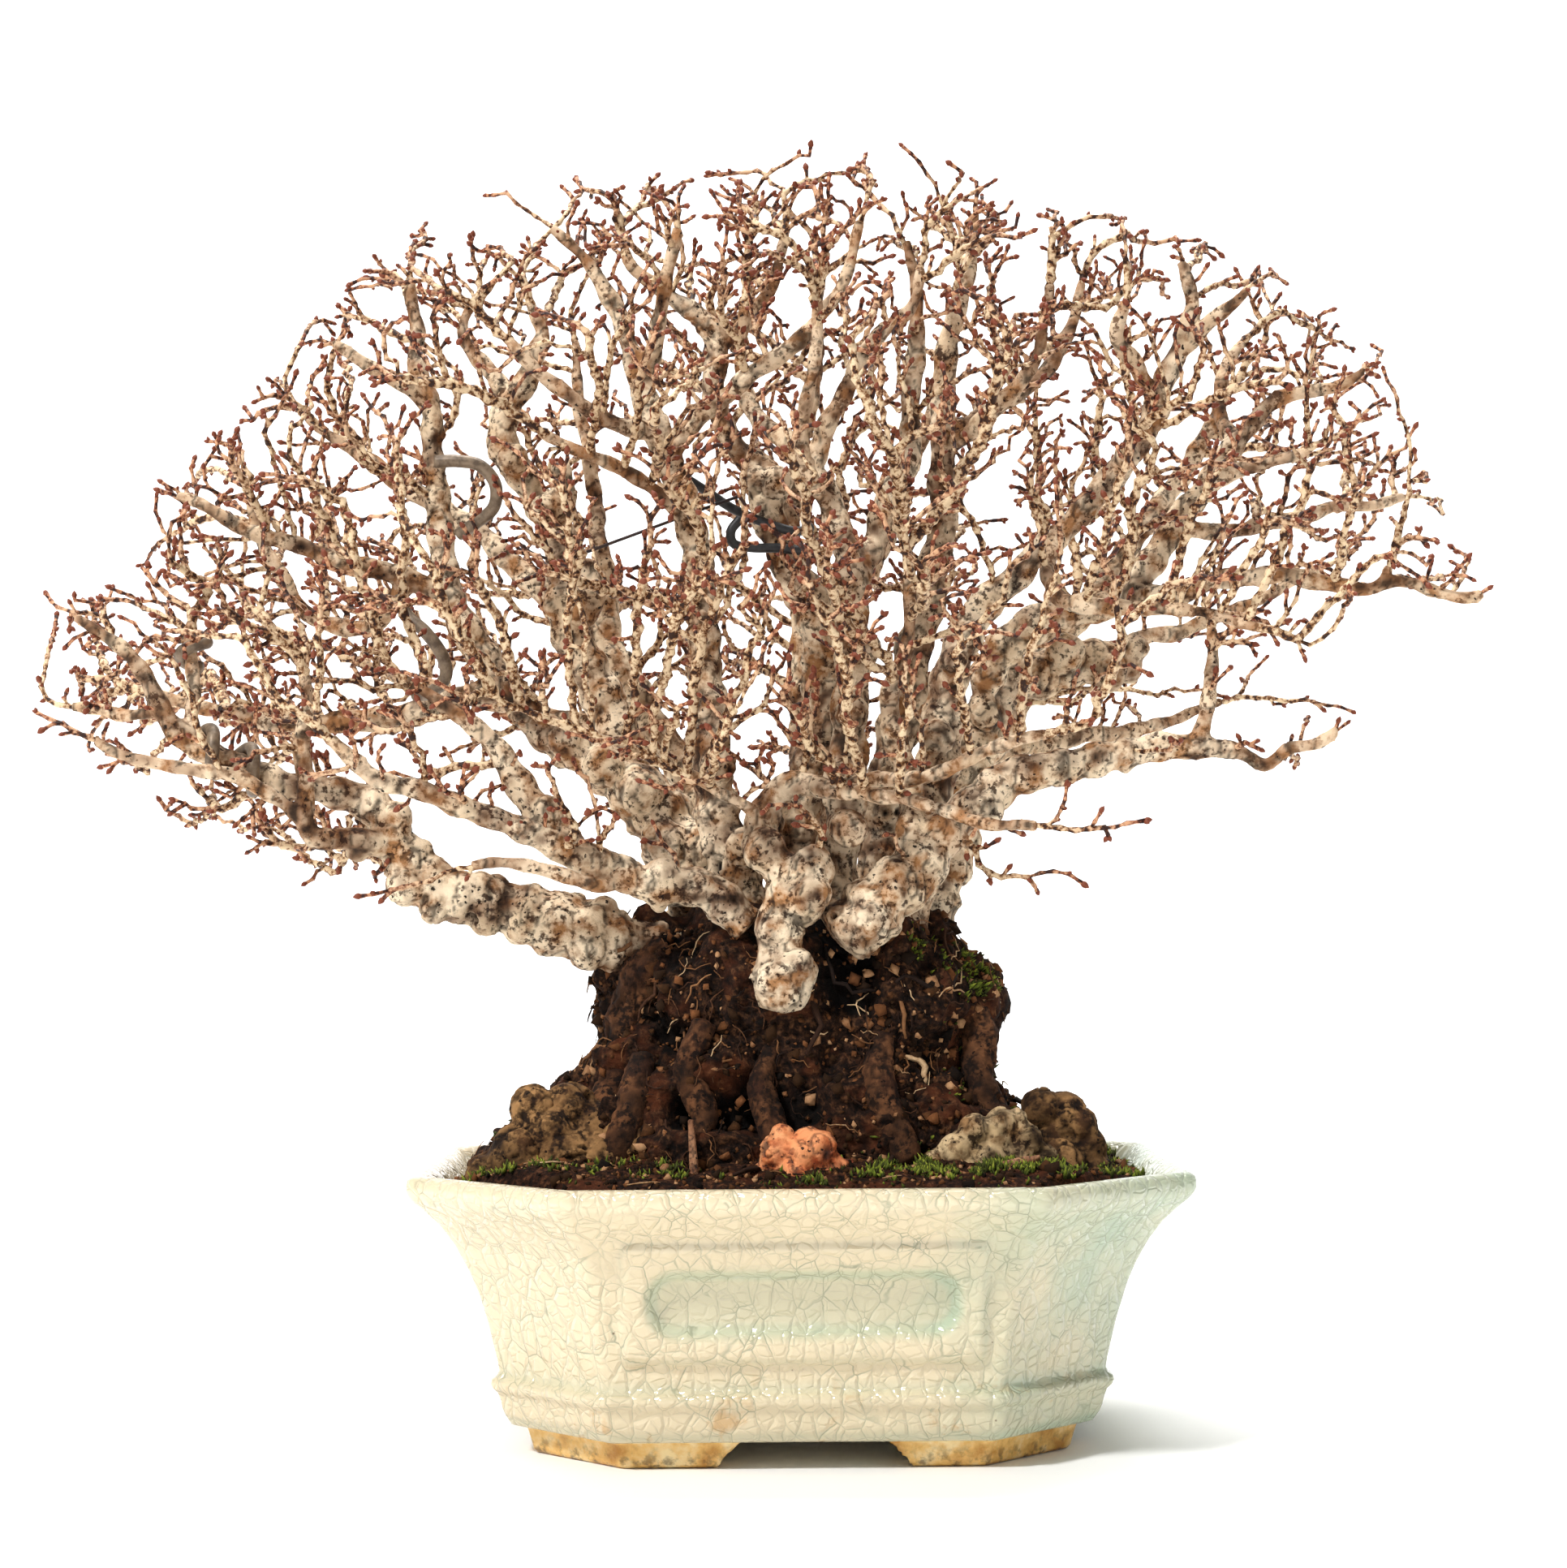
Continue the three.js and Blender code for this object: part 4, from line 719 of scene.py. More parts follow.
@dataclass(frozen=True)
class BarkFinish(Finish):
    """Living bark of old stems: corky, pale where it catches light, with dark open pits.

    The eye sees cream and grey-tan ridges about 2 mm wide, near-black pits under 1 mm, and a
    redder, smoother skin where the stem is young. Brown painted shade lies in the low places of
    the relief, and near-black painted shade in its pits, folds and hollows.
    """

    bump_mm: float = 0.55
    clouds: Clouds = ((2.0, 4), (8.0, 5), (6.0, 2), (15.0, 2))
    marks: tuple[str, ...] = ("valley_shade", "age", "hollow_shade")
    pale: str = "#edd8b9"
    tan: str = "#a8794f"
    dark: str = "#2b1306"
    grey: str = "#d2c6b6"
    young: str = "#b07f58"
    # Brown painted shade for the low places of the relief; near-black for the pits and for painted
    # shade in the hollows.
    valley_shade: str = "#663c1d"
    pit_and_shade: str = "#120803"
    pit_mm: float = 2.0
    fleck: tuple[float, float] = (0.42, 0.50)

    def dress(self, add: Adder, place: Socket, *patterns: Socket) -> Dressing:
        """Ridge and patch colours, young skin by age mark, pits, painted shade in valleys and
        hollows.
        """
        ridges, patches, worn, weathered, valley_shade, age, hollow_shade = patterns
        flecks = add("Math", add("MapRange", ridges, *self.fleck, 0.9, 0.0),
                     add("MapRange", worn, 0.42, 0.58, 0.15, 1.0), operation="MULTIPLY")
        ragged = add("TexNoise", Vector=place, Scale=0.9, Detail=1.0, out="Color")
        cells = add("TexVoronoi", Scale=1 / self.pit_mm, Vector=add(
            "VectorMath", ragged, (1.6,) * 3, place, operation="MULTIPLY_ADD"))
        lot = add("SeparateColor", cells.node.outputs["Color"])
        inside = add("Math", add("MapRange", lot, 0.35, 1.0, 0.0, 0.26), cells,
                     operation="SUBTRACT")
        pits = add("MapRange", inside, -0.02, 0.05, 0.0, 0.95)
        # The first coat is brown painted shade in the low places of the relief; the last is
        # near-black for the pits and for painted shade in the pits, folds and hollows of the skin.
        base = coat(
            add, add("ValToRGB", patches, stops=((0.38, self.tan), (0.54, self.pale))),
            (valley_shade, self.valley_shade), (flecks, self.dark),
            (add("MapRange", weathered, 0.45, 0.65, 0.0, 0.6), self.grey, "MULTIPLY"),
            (add("MapRange", age, 0.15, 0.45, 0.4, 0.0), self.young),
            (add("Math", pits, hollow_shade, operation="MAXIMUM"), self.pit_and_shade))
        return base, add("Math", ridges, pits, operation="SUBTRACT"), None


@dataclass(frozen=True)
class TwigFinish(Finish):
    """Year-old shoots: thin red-brown skin with pale flecks, and dark scaly buds.

    The eye sees warm pink-brown sticks whose knots and buds are darker and redder.
    """

    bump_mm: float = 0.3
    clouds: Clouds = ((2.1, 4),)
    marks: tuple[str, ...] = ("age", "bud")
    fresh: tuple[Tone, ...] = ((0.43, "#2b1008"), (0.58, "#c8946e"), (0.5, "#83462b"))
    older: tuple[Tone, ...] = ((0.41, "#2f1708"), (0.57, "#e2c8a2"), (0.46, "#84552f"))
    scale: str = "#783c26"

    def dress(self, add: Adder, place: Socket, *patterns: Socket) -> Dressing:
        """Flecked skin, paler where it is older and darkened by the bud mark."""
        flecks, age, bud = patterns
        fresh, older = (add("ValToRGB", flecks, stops=tones) for tones in (self.fresh, self.older))
        base = coat(add, fresh, (add("MapRange", age, 0.1, 0.75, 0.0, 1.0), older),
                    (bud, self.scale))
        return base, flecks, None


@dataclass(frozen=True)
class GlazeFinish(Finish):
    """Crackled cream to celadon glaze fired over pale stoneware.

    The eye sees a glassy cream coat that turns sea green to the right and where it pooled, cut
    by a net of fine cracks 4 to 6 mm apart, with brown pinholes and tea-brown stains low down.
    """

    bump_mm: float = 0.4
    clouds: Clouds = ((26, 3), (8, 2), (10, 2), (10, 4), (5, 2))
    marks: tuple[str, ...] = ("pool",)
    cream: str = "#dfcfae"
    celadon: str = "#abbba2"
    crack: str = "#8b9078"
    stain: str = "#c08a3e"
    pinhole: str = "#5a3716"
    crack_mm: float = 6.0

    def dress(self, add: Adder, place: Socket, *patterns: Socket) -> Dressing:
        """Cream and celadon by side and by pooling, crack net, pinholes and low stains."""
        drift, crazed, fading, blots, waves, pool = patterns
        across = add("SeparateXYZ", place)
        side = add("Math", across, add("MapRange", drift, 0.3, 0.7, -30.0, 30.0))
        green = add("Math", add("MapRange", side, 25.0, 125.0, 0.0, 0.95), pool, use_clamp=True)
        wander = add("TexNoise", Vector=place, Scale=0.16, Detail=3.0, out="Color")
        bent = add("VectorMath", wander, (2.0,) * 3, place, operation="MULTIPLY_ADD")
        wide, narrow = (
            add("TexVoronoi", Scale=1 / (self.crack_mm * part), feature="DISTANCE_TO_EDGE",
                Vector=add("Mapping", Vector=bent, Scale=stretch, Location=(shift,) * 3))
            for part, stretch, shift in ((1.0, (1.0, 1.0, 0.55), 0.0),
                                         (0.62, (0.8, 0.8, 1.1), 40.0)))
        # Products: fine cracks where crazed, all cracks by fading, stains low down by blots.
        fine = add("Math", add("MapRange", narrow, 0.005, 0.04, 0.8, 0.0),
                   add("MapRange", crazed, 0.46, 0.54, 0.0, 1.0), operation="MULTIPLY")
        cracks = add("Math", add("MapRange", wide, 0.004, 0.035, 1.0, 0.0), fine,
                     operation="MAXIMUM")
        cracks = add("Math", cracks, add("MapRange", fading, 0.36, 0.62, 0.1, 0.75),
                     operation="MULTIPLY")
        stains = add("Math", add("MapRange", across.node.outputs[2], 9.0, 36.0, 1.0, 0.0),
                     add("MapRange", blots, 0.57, 0.7, 0.0, 0.7), operation="MULTIPLY")
        pins = add("TexVoronoi", Vector=place, Scale=1 / 13)
        base = coat(add, self.cream, (green, self.celadon), (cracks, self.crack),
                    (stains, self.stain),
                    (add("MapRange", pins, 0.018, 0.034, 0.7, 0.0), self.pinhole))
        ridge = add("Math", add("MapRange", wide, 0.0, 0.14, 0.0, 1.0),
                    add("MapRange", narrow, 0.0, 0.12, 0.5, 1.0), operation="MULTIPLY")
        return base, add("Math", waves, 0.9, ridge, operation="MULTIPLY_ADD"), None


@dataclass(frozen=True)
class FootFinish(Finish):
    """Ochre stoneware feet under a thin wash of glaze, worn and tea-stained.

    The eye sees satin honey-coloured clay with dark dirt along the lower edge.
    """

    bump_mm: float = 0.25
    clouds: Clouds = ((9, 4), (3.5, 4), (1.5, 3))
    clay: tuple[Tone, ...] = ((0.34, "#bf8636"), (0.66, "#f7dfa8"), (0.5, "#e8bb6c"))
    dirt: str = "#4a3116"

    def dress(self, add: Adder, place: Socket, *patterns: Socket) -> Dressing:
        """Honey clay in patches, dirt near the floor."""
        patches, grime, grain = patterns
        low = add("MapRange", add("SeparateXYZ", place, out=2), 0.5, 8.0, 1.0, 0.0)
        dirt = add("Math", low, add("MapRange", grime, 0.5, 0.64, 0.0, 0.85),
                   operation="MULTIPLY")
        base = coat(add, add("ValToRGB", patches, stops=self.clay), (dirt, self.dirt))
        return base, grain, None


@dataclass(frozen=True)
class EarthFinish(Finish):
    """Damp earth, peat or root fibre: three tones in patches, black painted shade in hollows.

    The eye sees crumbs and fibres of the light tone on a dark ground, with black painted shade
    laid where the surface turns in.
    """

    bump_mm: float = 1.2
    clouds: Clouds = ((2.2, 6), (12, 3))
    marks: tuple[str, ...] = ("hollow_shade",)
    ground: str = "#24150d"
    middle: str = "#4a2e1d"
    crumb: str = "#8a6444"
    rust: str = "#5f3018"
    # Black of the painted shade in the hollows.
    depth: str = "#050302"

    def dress(self, add: Adder, place: Socket, *patterns: Socket) -> Dressing:
        """Patches of three tones, rust in places, and black painted shade in the hollows."""
        grit, rusty, hollow_shade = patterns
        tones = (0.38, self.ground), (0.68, self.crumb), (0.53, self.middle)
        # The last coat lays the black painted shade.
        base = coat(add, add("ValToRGB", grit, stops=tones),
                    (add("MapRange", rusty, 0.5, 0.66, 0.0, 0.5), self.rust),
                    (hollow_shade, self.depth))
        return base, grit, None


@dataclass(frozen=True)
class LitterFinish(Finish):
    """Loose bits that differ one from the next: each takes its colour from its tone mark.

    The eye sees single crumbs, rootlets or moss leaves in a run of related colours.
    """

    clouds: Clouds = ((1.2, 2),)
    marks: tuple[str, ...] = ("tone",)
    tones: tuple[Tone, ...] = ((0.0, "#000000"), (1.0, "#ffffff"))

    def dress(self, add: Adder, place: Socket, *patterns: Socket) -> Dressing:
        """The ramp of tones read by the mark, with a little mottling along each bit."""
        mottle, tone = patterns
        mixed = add("Math", mottle, 0.3, -0.15, operation="MULTIPLY_ADD")
        mixed = add("Math", mixed, tone, use_clamp=True)
        return add("ValToRGB", mixed, stops=self.tones), None, None


@dataclass(frozen=True)
class PlainFinish(Finish):
    """A made material such as drawn wire or moulded plastic: two close tones and fine scratches.

    The eye sees an even colour, dulled in patches by handling and weather.
    """

    bump_mm: float = 0.08
    clouds: Clouds = ((3.0, 4),)
    tone: str = "#808080"
    worn: str = "#606060"

    def dress(self, add: Adder, place: Socket, *patterns: Socket) -> Dressing:
        """Tone and worn tone in patches, with roughness that follows them."""
        patches, = patterns
        base = coat(add, self.tone, (add("MapRange", patches, 0.4, 0.62), self.worn))
        rough = add("MapRange", patches, None, None, self.roughness - 0.1, self.roughness + 0.15)
        return base, patches, rough




# ---------------------------------------------------------------- the pot


@dataclass
class Pot:
    """Eight-sided glazed pot with a flared lip, sunk panels, a belt and four corner feet."""

    half_width: float = 115.0
    half_depth: float = 98.0
    chamfer_x: float = 48.0
    chamfer_y: float = 47.0
    foot_height: float = 8.5
    glaze_line: float = 8.0
    gap_half_top: float = 20.0
    gap_half_floor: float = 27.0
    gap_middle_x: float = 3.0
    drain_x: float = 38.0
    drain_radius: float = 10.0
    columns: int = 500
    # How far the wall is inside the widest outline, and its height: from under the floor, over
    # the feet, up outside, over the lip and down inside.
    profile: tuple[tuple[float, float], ...] = (
        (60, 8.6), (50, 8.5), (48, 8.2), (46.6, 4.5), (46, 1.2), (45, 0.2), (42, 0), (38.5, 0),
        (36.8, 0.3), (35.9, 1.2), (35.0, 4.5), (34.2, 7.0), (33.6, 8.0), (31.0, 8.3),
        (29.4, 8.9), (28.4, 10.4), (27.6, 11.6), (26.8, 13.4), (26.2, 16.0), (25.4, 18.2),
        (24.0, 19.6), (23.4, 20.9), (23.7, 22.2), (25.2, 23.2), (25.8, 24.4), (25.5, 27),
        (24.3, 32), (22.4, 40), (20.0, 48), (17.2, 55), (13.6, 62), (9.2, 68), (5.2, 72),
        (2.4, 74.4), (0.9, 76.0), (0.1, 77.8), (0.0, 79.8), (0.5, 81.3), (1.8, 82.2), (3.4, 82.5),
        (5.2, 82.0), (7.2, 80.2), (9.0, 77.6), (13, 72), (18, 67), (22, 61), (25, 55.5), (28, 49),
        (30, 44), (32.5, 30), (36, 20), (38.5, 16.6), (44, 16), (60, 16))

    def corners(self, inset: float) -> Array:
        """The eight corners of the outline pulled in by ``inset``, anticlockwise."""
        w, d = self.half_width - inset, self.half_depth - inset
        cut = inset * (2 - 2**0.5)
        a, b = w - self.chamfer_x + cut, d - self.chamfer_y + cut
        return np.array([(a, -d), (w, -b), (w, b), (a, d), (-a, d), (-w, b), (-w, -b), (-a, -d)])

    def outline(self, columns: int, rounding: float) -> tuple[Array, Array]:
        """Points of the widest outline and how each moves as the outline is pulled in.

        point(u) = outline(u) + inset * step(u), both averaged over ``rounding`` millimetres of
        the way round so that the corners are soft.

        Args:
            columns: points round the outline.
            rounding: half the length of outline that a corner is spread over.

        Returns:
            The points and their steps for one millimetre of inset.
        """
        outer, inner = self.corners(0.0), self.corners(1.0)
        lengths = np.linalg.norm(np.roll(outer, -1, axis=0) - outer, axis=1)
        ends = np.r_[0, np.cumsum(lengths)]
        u = np.arange(columns)[:, None] / columns * ends[-1]
        around = (u + np.linspace(-rounding, rounding, 9)) % ends[-1]
        closed = [np.vstack([ring, ring[:1]]) for ring in (outer, inner - outer)]
        base, step = (np.stack([np.interp(around, ends, ring[:, k]).mean(axis=1)
                                for k in (0, 1)], axis=1) for ring in closed)
        return base, step

    def rings(self, profile: Array, columns: int, rounding: float = 3.0) -> Array:
        """Grid of points: outline(u) pulled in by the profile's inset, at the profile's height."""
        base, step = self.outline(columns, rounding)
        flat = base[None] + profile[:, 0, None, None] * step[None]
        heights = np.broadcast_to(profile[:, 1, None, None], (*flat.shape[:2], 1))
        return np.concatenate([flat, heights], axis=2)

    def gaps(self, points: Array) -> Array:
        """1 on a foot and 0 in the four openings between feet, sloped at their ends."""
        x, y = points[..., 0], points[..., 1]
        low = np.clip(1 - points[..., 2] / self.foot_height, 0, 1)
        half = self.gap_half_top + (self.gap_half_floor - self.gap_half_top) * low
        front = np.abs(x - self.gap_middle_x) - half
        side = np.abs(y) - half
        return np.clip(np.minimum(front, side) / 1.6 + 0.5, 0, 1)

    def panel(self, points: Array, half_width: float, low: float, high: float,
              corner: float, slope: float) -> Array:
        """1 inside a rounded rectangle on the front and back, falling to 0 over ``slope``."""
        half = 0.5 * (high - low)
        across = np.abs(points[..., 0]) - half_width + corner
        up = np.abs(points[..., 2] - 0.5 * (low + high)) - half + corner
        outside = np.hypot(np.maximum(across, 0), np.maximum(up, 0)) + np.minimum(
            np.maximum(across, up), 0) - corner
        on_face = np.abs(points[..., 1]) > 0.55 * self.half_depth
        share = np.clip(0.5 - outside / slope, 0, 1)
        return on_face * share * share * (3 - 2 * share)

    def build(self) -> bpy.types.Object:
        """One closed glazed body with its feet, its drain holes cut out of the floor.

        Returns:
            The piece.
        """
        stations = np.array([(a, z, 1.0, 1.0) for a, z in self.profile])
        knots = np.r_[0, np.cumsum(np.hypot(*np.diff(stations[:, :2], axis=0).T))]
        at = np.unique(np.concatenate([
            np.arange(0, knots[-1], 1.7), knots[(knots > 20) & (knots < 62)]]))
        profile = np.stack([np.interp(at, knots, stations[:, k]) for k in (0, 1)], axis=1)
        grid = self.rings(profile, self.columns, 1.8)
        outside = ((at > 40) & (at < knots[37]))[:, None]
        plate = self.panel(grid, 51, 32, 66.0, 2.5, 1.8) * outside
        sunk = self.panel(grid, 43, 40.5, 57.5, 7.5, 5.0) * outside
        raised = 2.1 * plate - 3.6 * sunk
        slow = Noise(3).waves(grid, 40.0) * 0.35 + Noise(4).waves(grid, 9.0) * 0.12
        grid[..., 1] += np.sign(grid[..., 1]) * raised
        outward = unit(grid * np.array([1, 1, 0]))
        grid += outward * (slow * outside)[..., None]
        foot = grid[..., 2] < self.foot_height - 0.2
        lifted = self.foot_height - (self.foot_height - grid[..., 2]) * self.gaps(grid)
        grid[..., 2] = np.where(foot, lifted, grid[..., 2])
        under, floor = (np.tile([0.0, 0.0, self.profile[k][1]], (1, self.columns, 1))
                        for k in (0, -1))
        body = np.concatenate([under, grid, floor]).reshape(-1, 3)
        points, faces = close_poles((body, grid_faces(len(profile) + 2, self.columns)))
        edge = 1.4 * np.sqrt(sunk * (1 - sunk)) + 0.5 * np.sqrt(plate * (1 - plate))
        pool = 0.7 * edge + 0.3 * sunk
        cove = np.exp(-((grid[..., 2] - 24) / 2.2)**2) + np.exp(-((grid[..., 2] - 10) / 1.6)**2)
        pool = np.concatenate([np.zeros(self.columns), (pool + 0.3 * cove).ravel(),
                               np.zeros(self.columns)])
        # close_poles keeps the first of the points that share a place, in this same order.
        _, first = np.unique(np.round(body, 3), axis=0, return_index=True)
        on_foot = points[faces].mean(axis=1)[:, 2] < self.glaze_line
        piece = make_piece("pot_body", (points, faces), (GLAZE, FOOT_CLAY), ("pot",),
                           {"pool": pool[first]}, on_foot)
        self.cut_drains(piece)
        return piece

    def cut_drains(self, piece: bpy.types.Object) -> None:
        """Cut the two round drain holes through the floor.

        Args:
            piece: the pot.
        """
        for side in (-1, 1):
            path = np.array([(side * self.drain_x, 0, z) for z in (4.0, 8.0, 14.0, 20.0)])
            points, faces = close_poles(bar(path, np.full(4, self.drain_radius), 48))
            cutter = link_object("drain", plain_mesh("drain", to_frame(points), faces))
            hole = piece.modifiers.new("drain", "BOOLEAN")
            hole.object = cutter
            hole.operation = "DIFFERENCE"
            hole.solver = "EXACT"
            made = bpy.data.meshes.new_from_object(
                piece.evaluated_get(bpy.context.evaluated_depsgraph_get()))
            piece.modifiers.remove(hole)
            piece.data = made
            bpy.data.objects.remove(cutter)


# ---------------------------------------------------------------- earth


@dataclass
class Soil:
    """Peaty earth that fills the pot and rises a little towards the root mound."""

    pot: Pot
    columns: int = 360
    edge_height: float = 76.5
    edge_inset: float = 11.6

    def surface_height(self, x: Array, y: Array) -> Array:
        """Height of the earth: a low dome that is roughened by grains and clods."""
        spread = np.maximum(np.abs(x) / 112, np.abs(y) / 95)
        flat = np.stack([x, y, np.zeros_like(x)], axis=-1)
        rough = Noise(21).fractal(flat, 14, 3) * 1.3 + Noise(22).waves(flat, 3.2) * 0.8
        return 88.0 - 8.5 * np.clip((spread - 0.5) / 0.42, 0, 1)**1.2 + rough

    def holds(self, points: Array) -> Array:
        """Whether points are well inside the rim: each side, and the sum across a corner."""
        x, y = np.abs(points[:, 0]), np.abs(points[:, 1])
        return (x < 101) & (y < 84) & (0.98 * x + y < 146)

    def build(self) -> bpy.types.Object:
        """Closed body: a bottom, walls inside the pot and a rough top.

        Returns:
            The piece.
        """
        walls = np.array([(70, 16.3), (44, 16.3), (39, 17), (32.8, 30), (30.3, 44), (25.3, 55.5),
                          (18.3, 67), (12.0, 74.0)])
        insets = np.arange(self.edge_inset, 92, 1.05)
        top = np.stack([insets, np.full(len(insets), 75.0)], axis=1)
        grid = self.pot.rings(np.vstack([walls, top]), self.columns, 3.0)
        shrink = np.linspace(1, 0, 10)[1:, None, None]
        grid = np.concatenate([grid, grid[-1:] * shrink])
        upper = slice(len(walls), None)
        x, y = grid[upper, :, 0], grid[upper, :, 1]
        grid[upper, :, 2] = self.surface_height(x, y)
        edge = np.clip((insets - self.edge_inset) / 3, 0, 1)
        rim = slice(len(walls), len(walls) + len(insets))
        grid[rim, :, 2] = (
            self.edge_height + (grid[rim, :, 2] - self.edge_height) * edge[:, None])
        bottom = np.tile([0.0, 0.0, 16.3], (1, self.columns, 1))
        every = np.concatenate([bottom, grid]).reshape(-1, 3)
        shell = close_poles((every, grid_faces(len(grid) + 1, self.columns)))
        # Black painted shade for the dips between grains, laid where the grain noise is low.
        hollow_shade = np.clip(-Noise(22).waves(shell[0], 3.2) * 1.1, 0, 0.8)
        return make_piece("soil_bed", shell, (EARTH,), ("soil",), {"hollow_shade": hollow_shade})


@dataclass
class RootMound:
    """Block of old roots and peat that the trunks stand on."""

    # Height, then how far it reaches to the left, right, front and back.
    sections: tuple[tuple[float, float, float, float, float], ...] = (
        (70, -102, 96, -60, 66), (74, -100, 94, -60, 66), (80, -98, 90, -60, 66),
        (86, -92, 84, -58, 64), (91, -88, 79, -56, 62), (97, -82, 71, -53, 60),
        (103, -76, 64, -50, 58), (110, -66, 57, -47, 54), (116, -62, 54, -45, 53),
        (122, -60, 54, -44, 52), (131, -62, 58, -44, 52), (139, -61, 55, -45, 53),
        (147, -55, 50, -43, 51), (155, -44, 43, -38, 46), (160, -30, 32, -28, 34))
    columns: int = 340
    rows: int = 140

    def radius(self, turn: Array, height: Array) -> tuple[Array, Array]:
        """Point of the plain mound at an angle and height: a squarish ellipse per quarter."""
        table = np.array(self.sections)
        left, right, front, back = (np.interp(height, table[:, 0], table[:, k])
                                    for k in (1, 2, 3, 4))
        c, s = np.cos(turn), np.sin(turn)
        x = np.sign(c) * np.abs(c)**0.85 * np.where(c > 0, right, -left)
        y = np.sign(s) * np.abs(s)**0.85 * np.where(s > 0, back, -front)
        return x, y

    def relief(self, points: Array) -> Array:
        """How far the surface stands out: clods, holes between old roots, and crumbs."""
        clods = Noise(31).fractal(points * [1, 1, 0.8], 26, 2) * 4.2
        roots = 1 - np.abs(Noise(32).waves(points * [1.0, 1.0, 0.5], 12))
        holes = np.clip(Noise(33).waves(points, 17) - 0.22, 0, 1) * 20
        lumps = np.clip(Noise(36).waves(points, 9.0) - 0.1, 0, 1) * 5.0
        crumbs = Noise(34).fractal(points, 4.2, 3) * 1.9
        return clods + 3.4 * roots**2 - holes + lumps + crumbs - 2.2

    def build(self) -> bpy.types.Object:
        """Closed skin: side(a, z) pushed out by the relief, and a closed top and bottom.

        Returns:
            The piece.
        """
        turn = np.arange(self.columns)[None] / self.columns * 2 * np.pi
        height = np.linspace(self.sections[0][0], self.sections[-1][0], self.rows)[:, None]
        turn, height = np.broadcast_arrays(turn, height)
        x, y = self.radius(turn, height)
        grid = np.stack([x, y, height], axis=-1)
        caps = [grid[:1] * [k, k, 1] for k in (0.0, 0.5)]
        top = [grid[-1:] * [k, k, 1] + [0, 0, 1.5 * (1 - k)]
               for k in np.linspace(0.95, 0, 14)]
        grid = np.concatenate([*caps, grid, *top])
        shell = close_poles((grid.reshape(-1, 3), grid_faces(len(grid), self.columns)))
        normal = point_normals(shell)
        out = self.relief(shell[0])
        low = np.clip((shell[0][:, 2] - 71) / 10, 0, 1)
        points = shell[0] + normal * (out * low)[:, None]
        # Painted shade in the recesses of the relief, and dark patches at random from a finer
        # noise.
        hollow_shade = np.clip(-0.1 - out / 4.5, 0, 0.95)
        hollow_shade += np.clip(Noise(35).waves(shell[0], 3.0) - 0.15, 0, 0.6)
        return make_piece("root_mound_skin", (points, shell[1]), (ROOT_MASS,),
                          ("root_mound",), {"hollow_shade": np.clip(hollow_shade, 0, 0.95)})


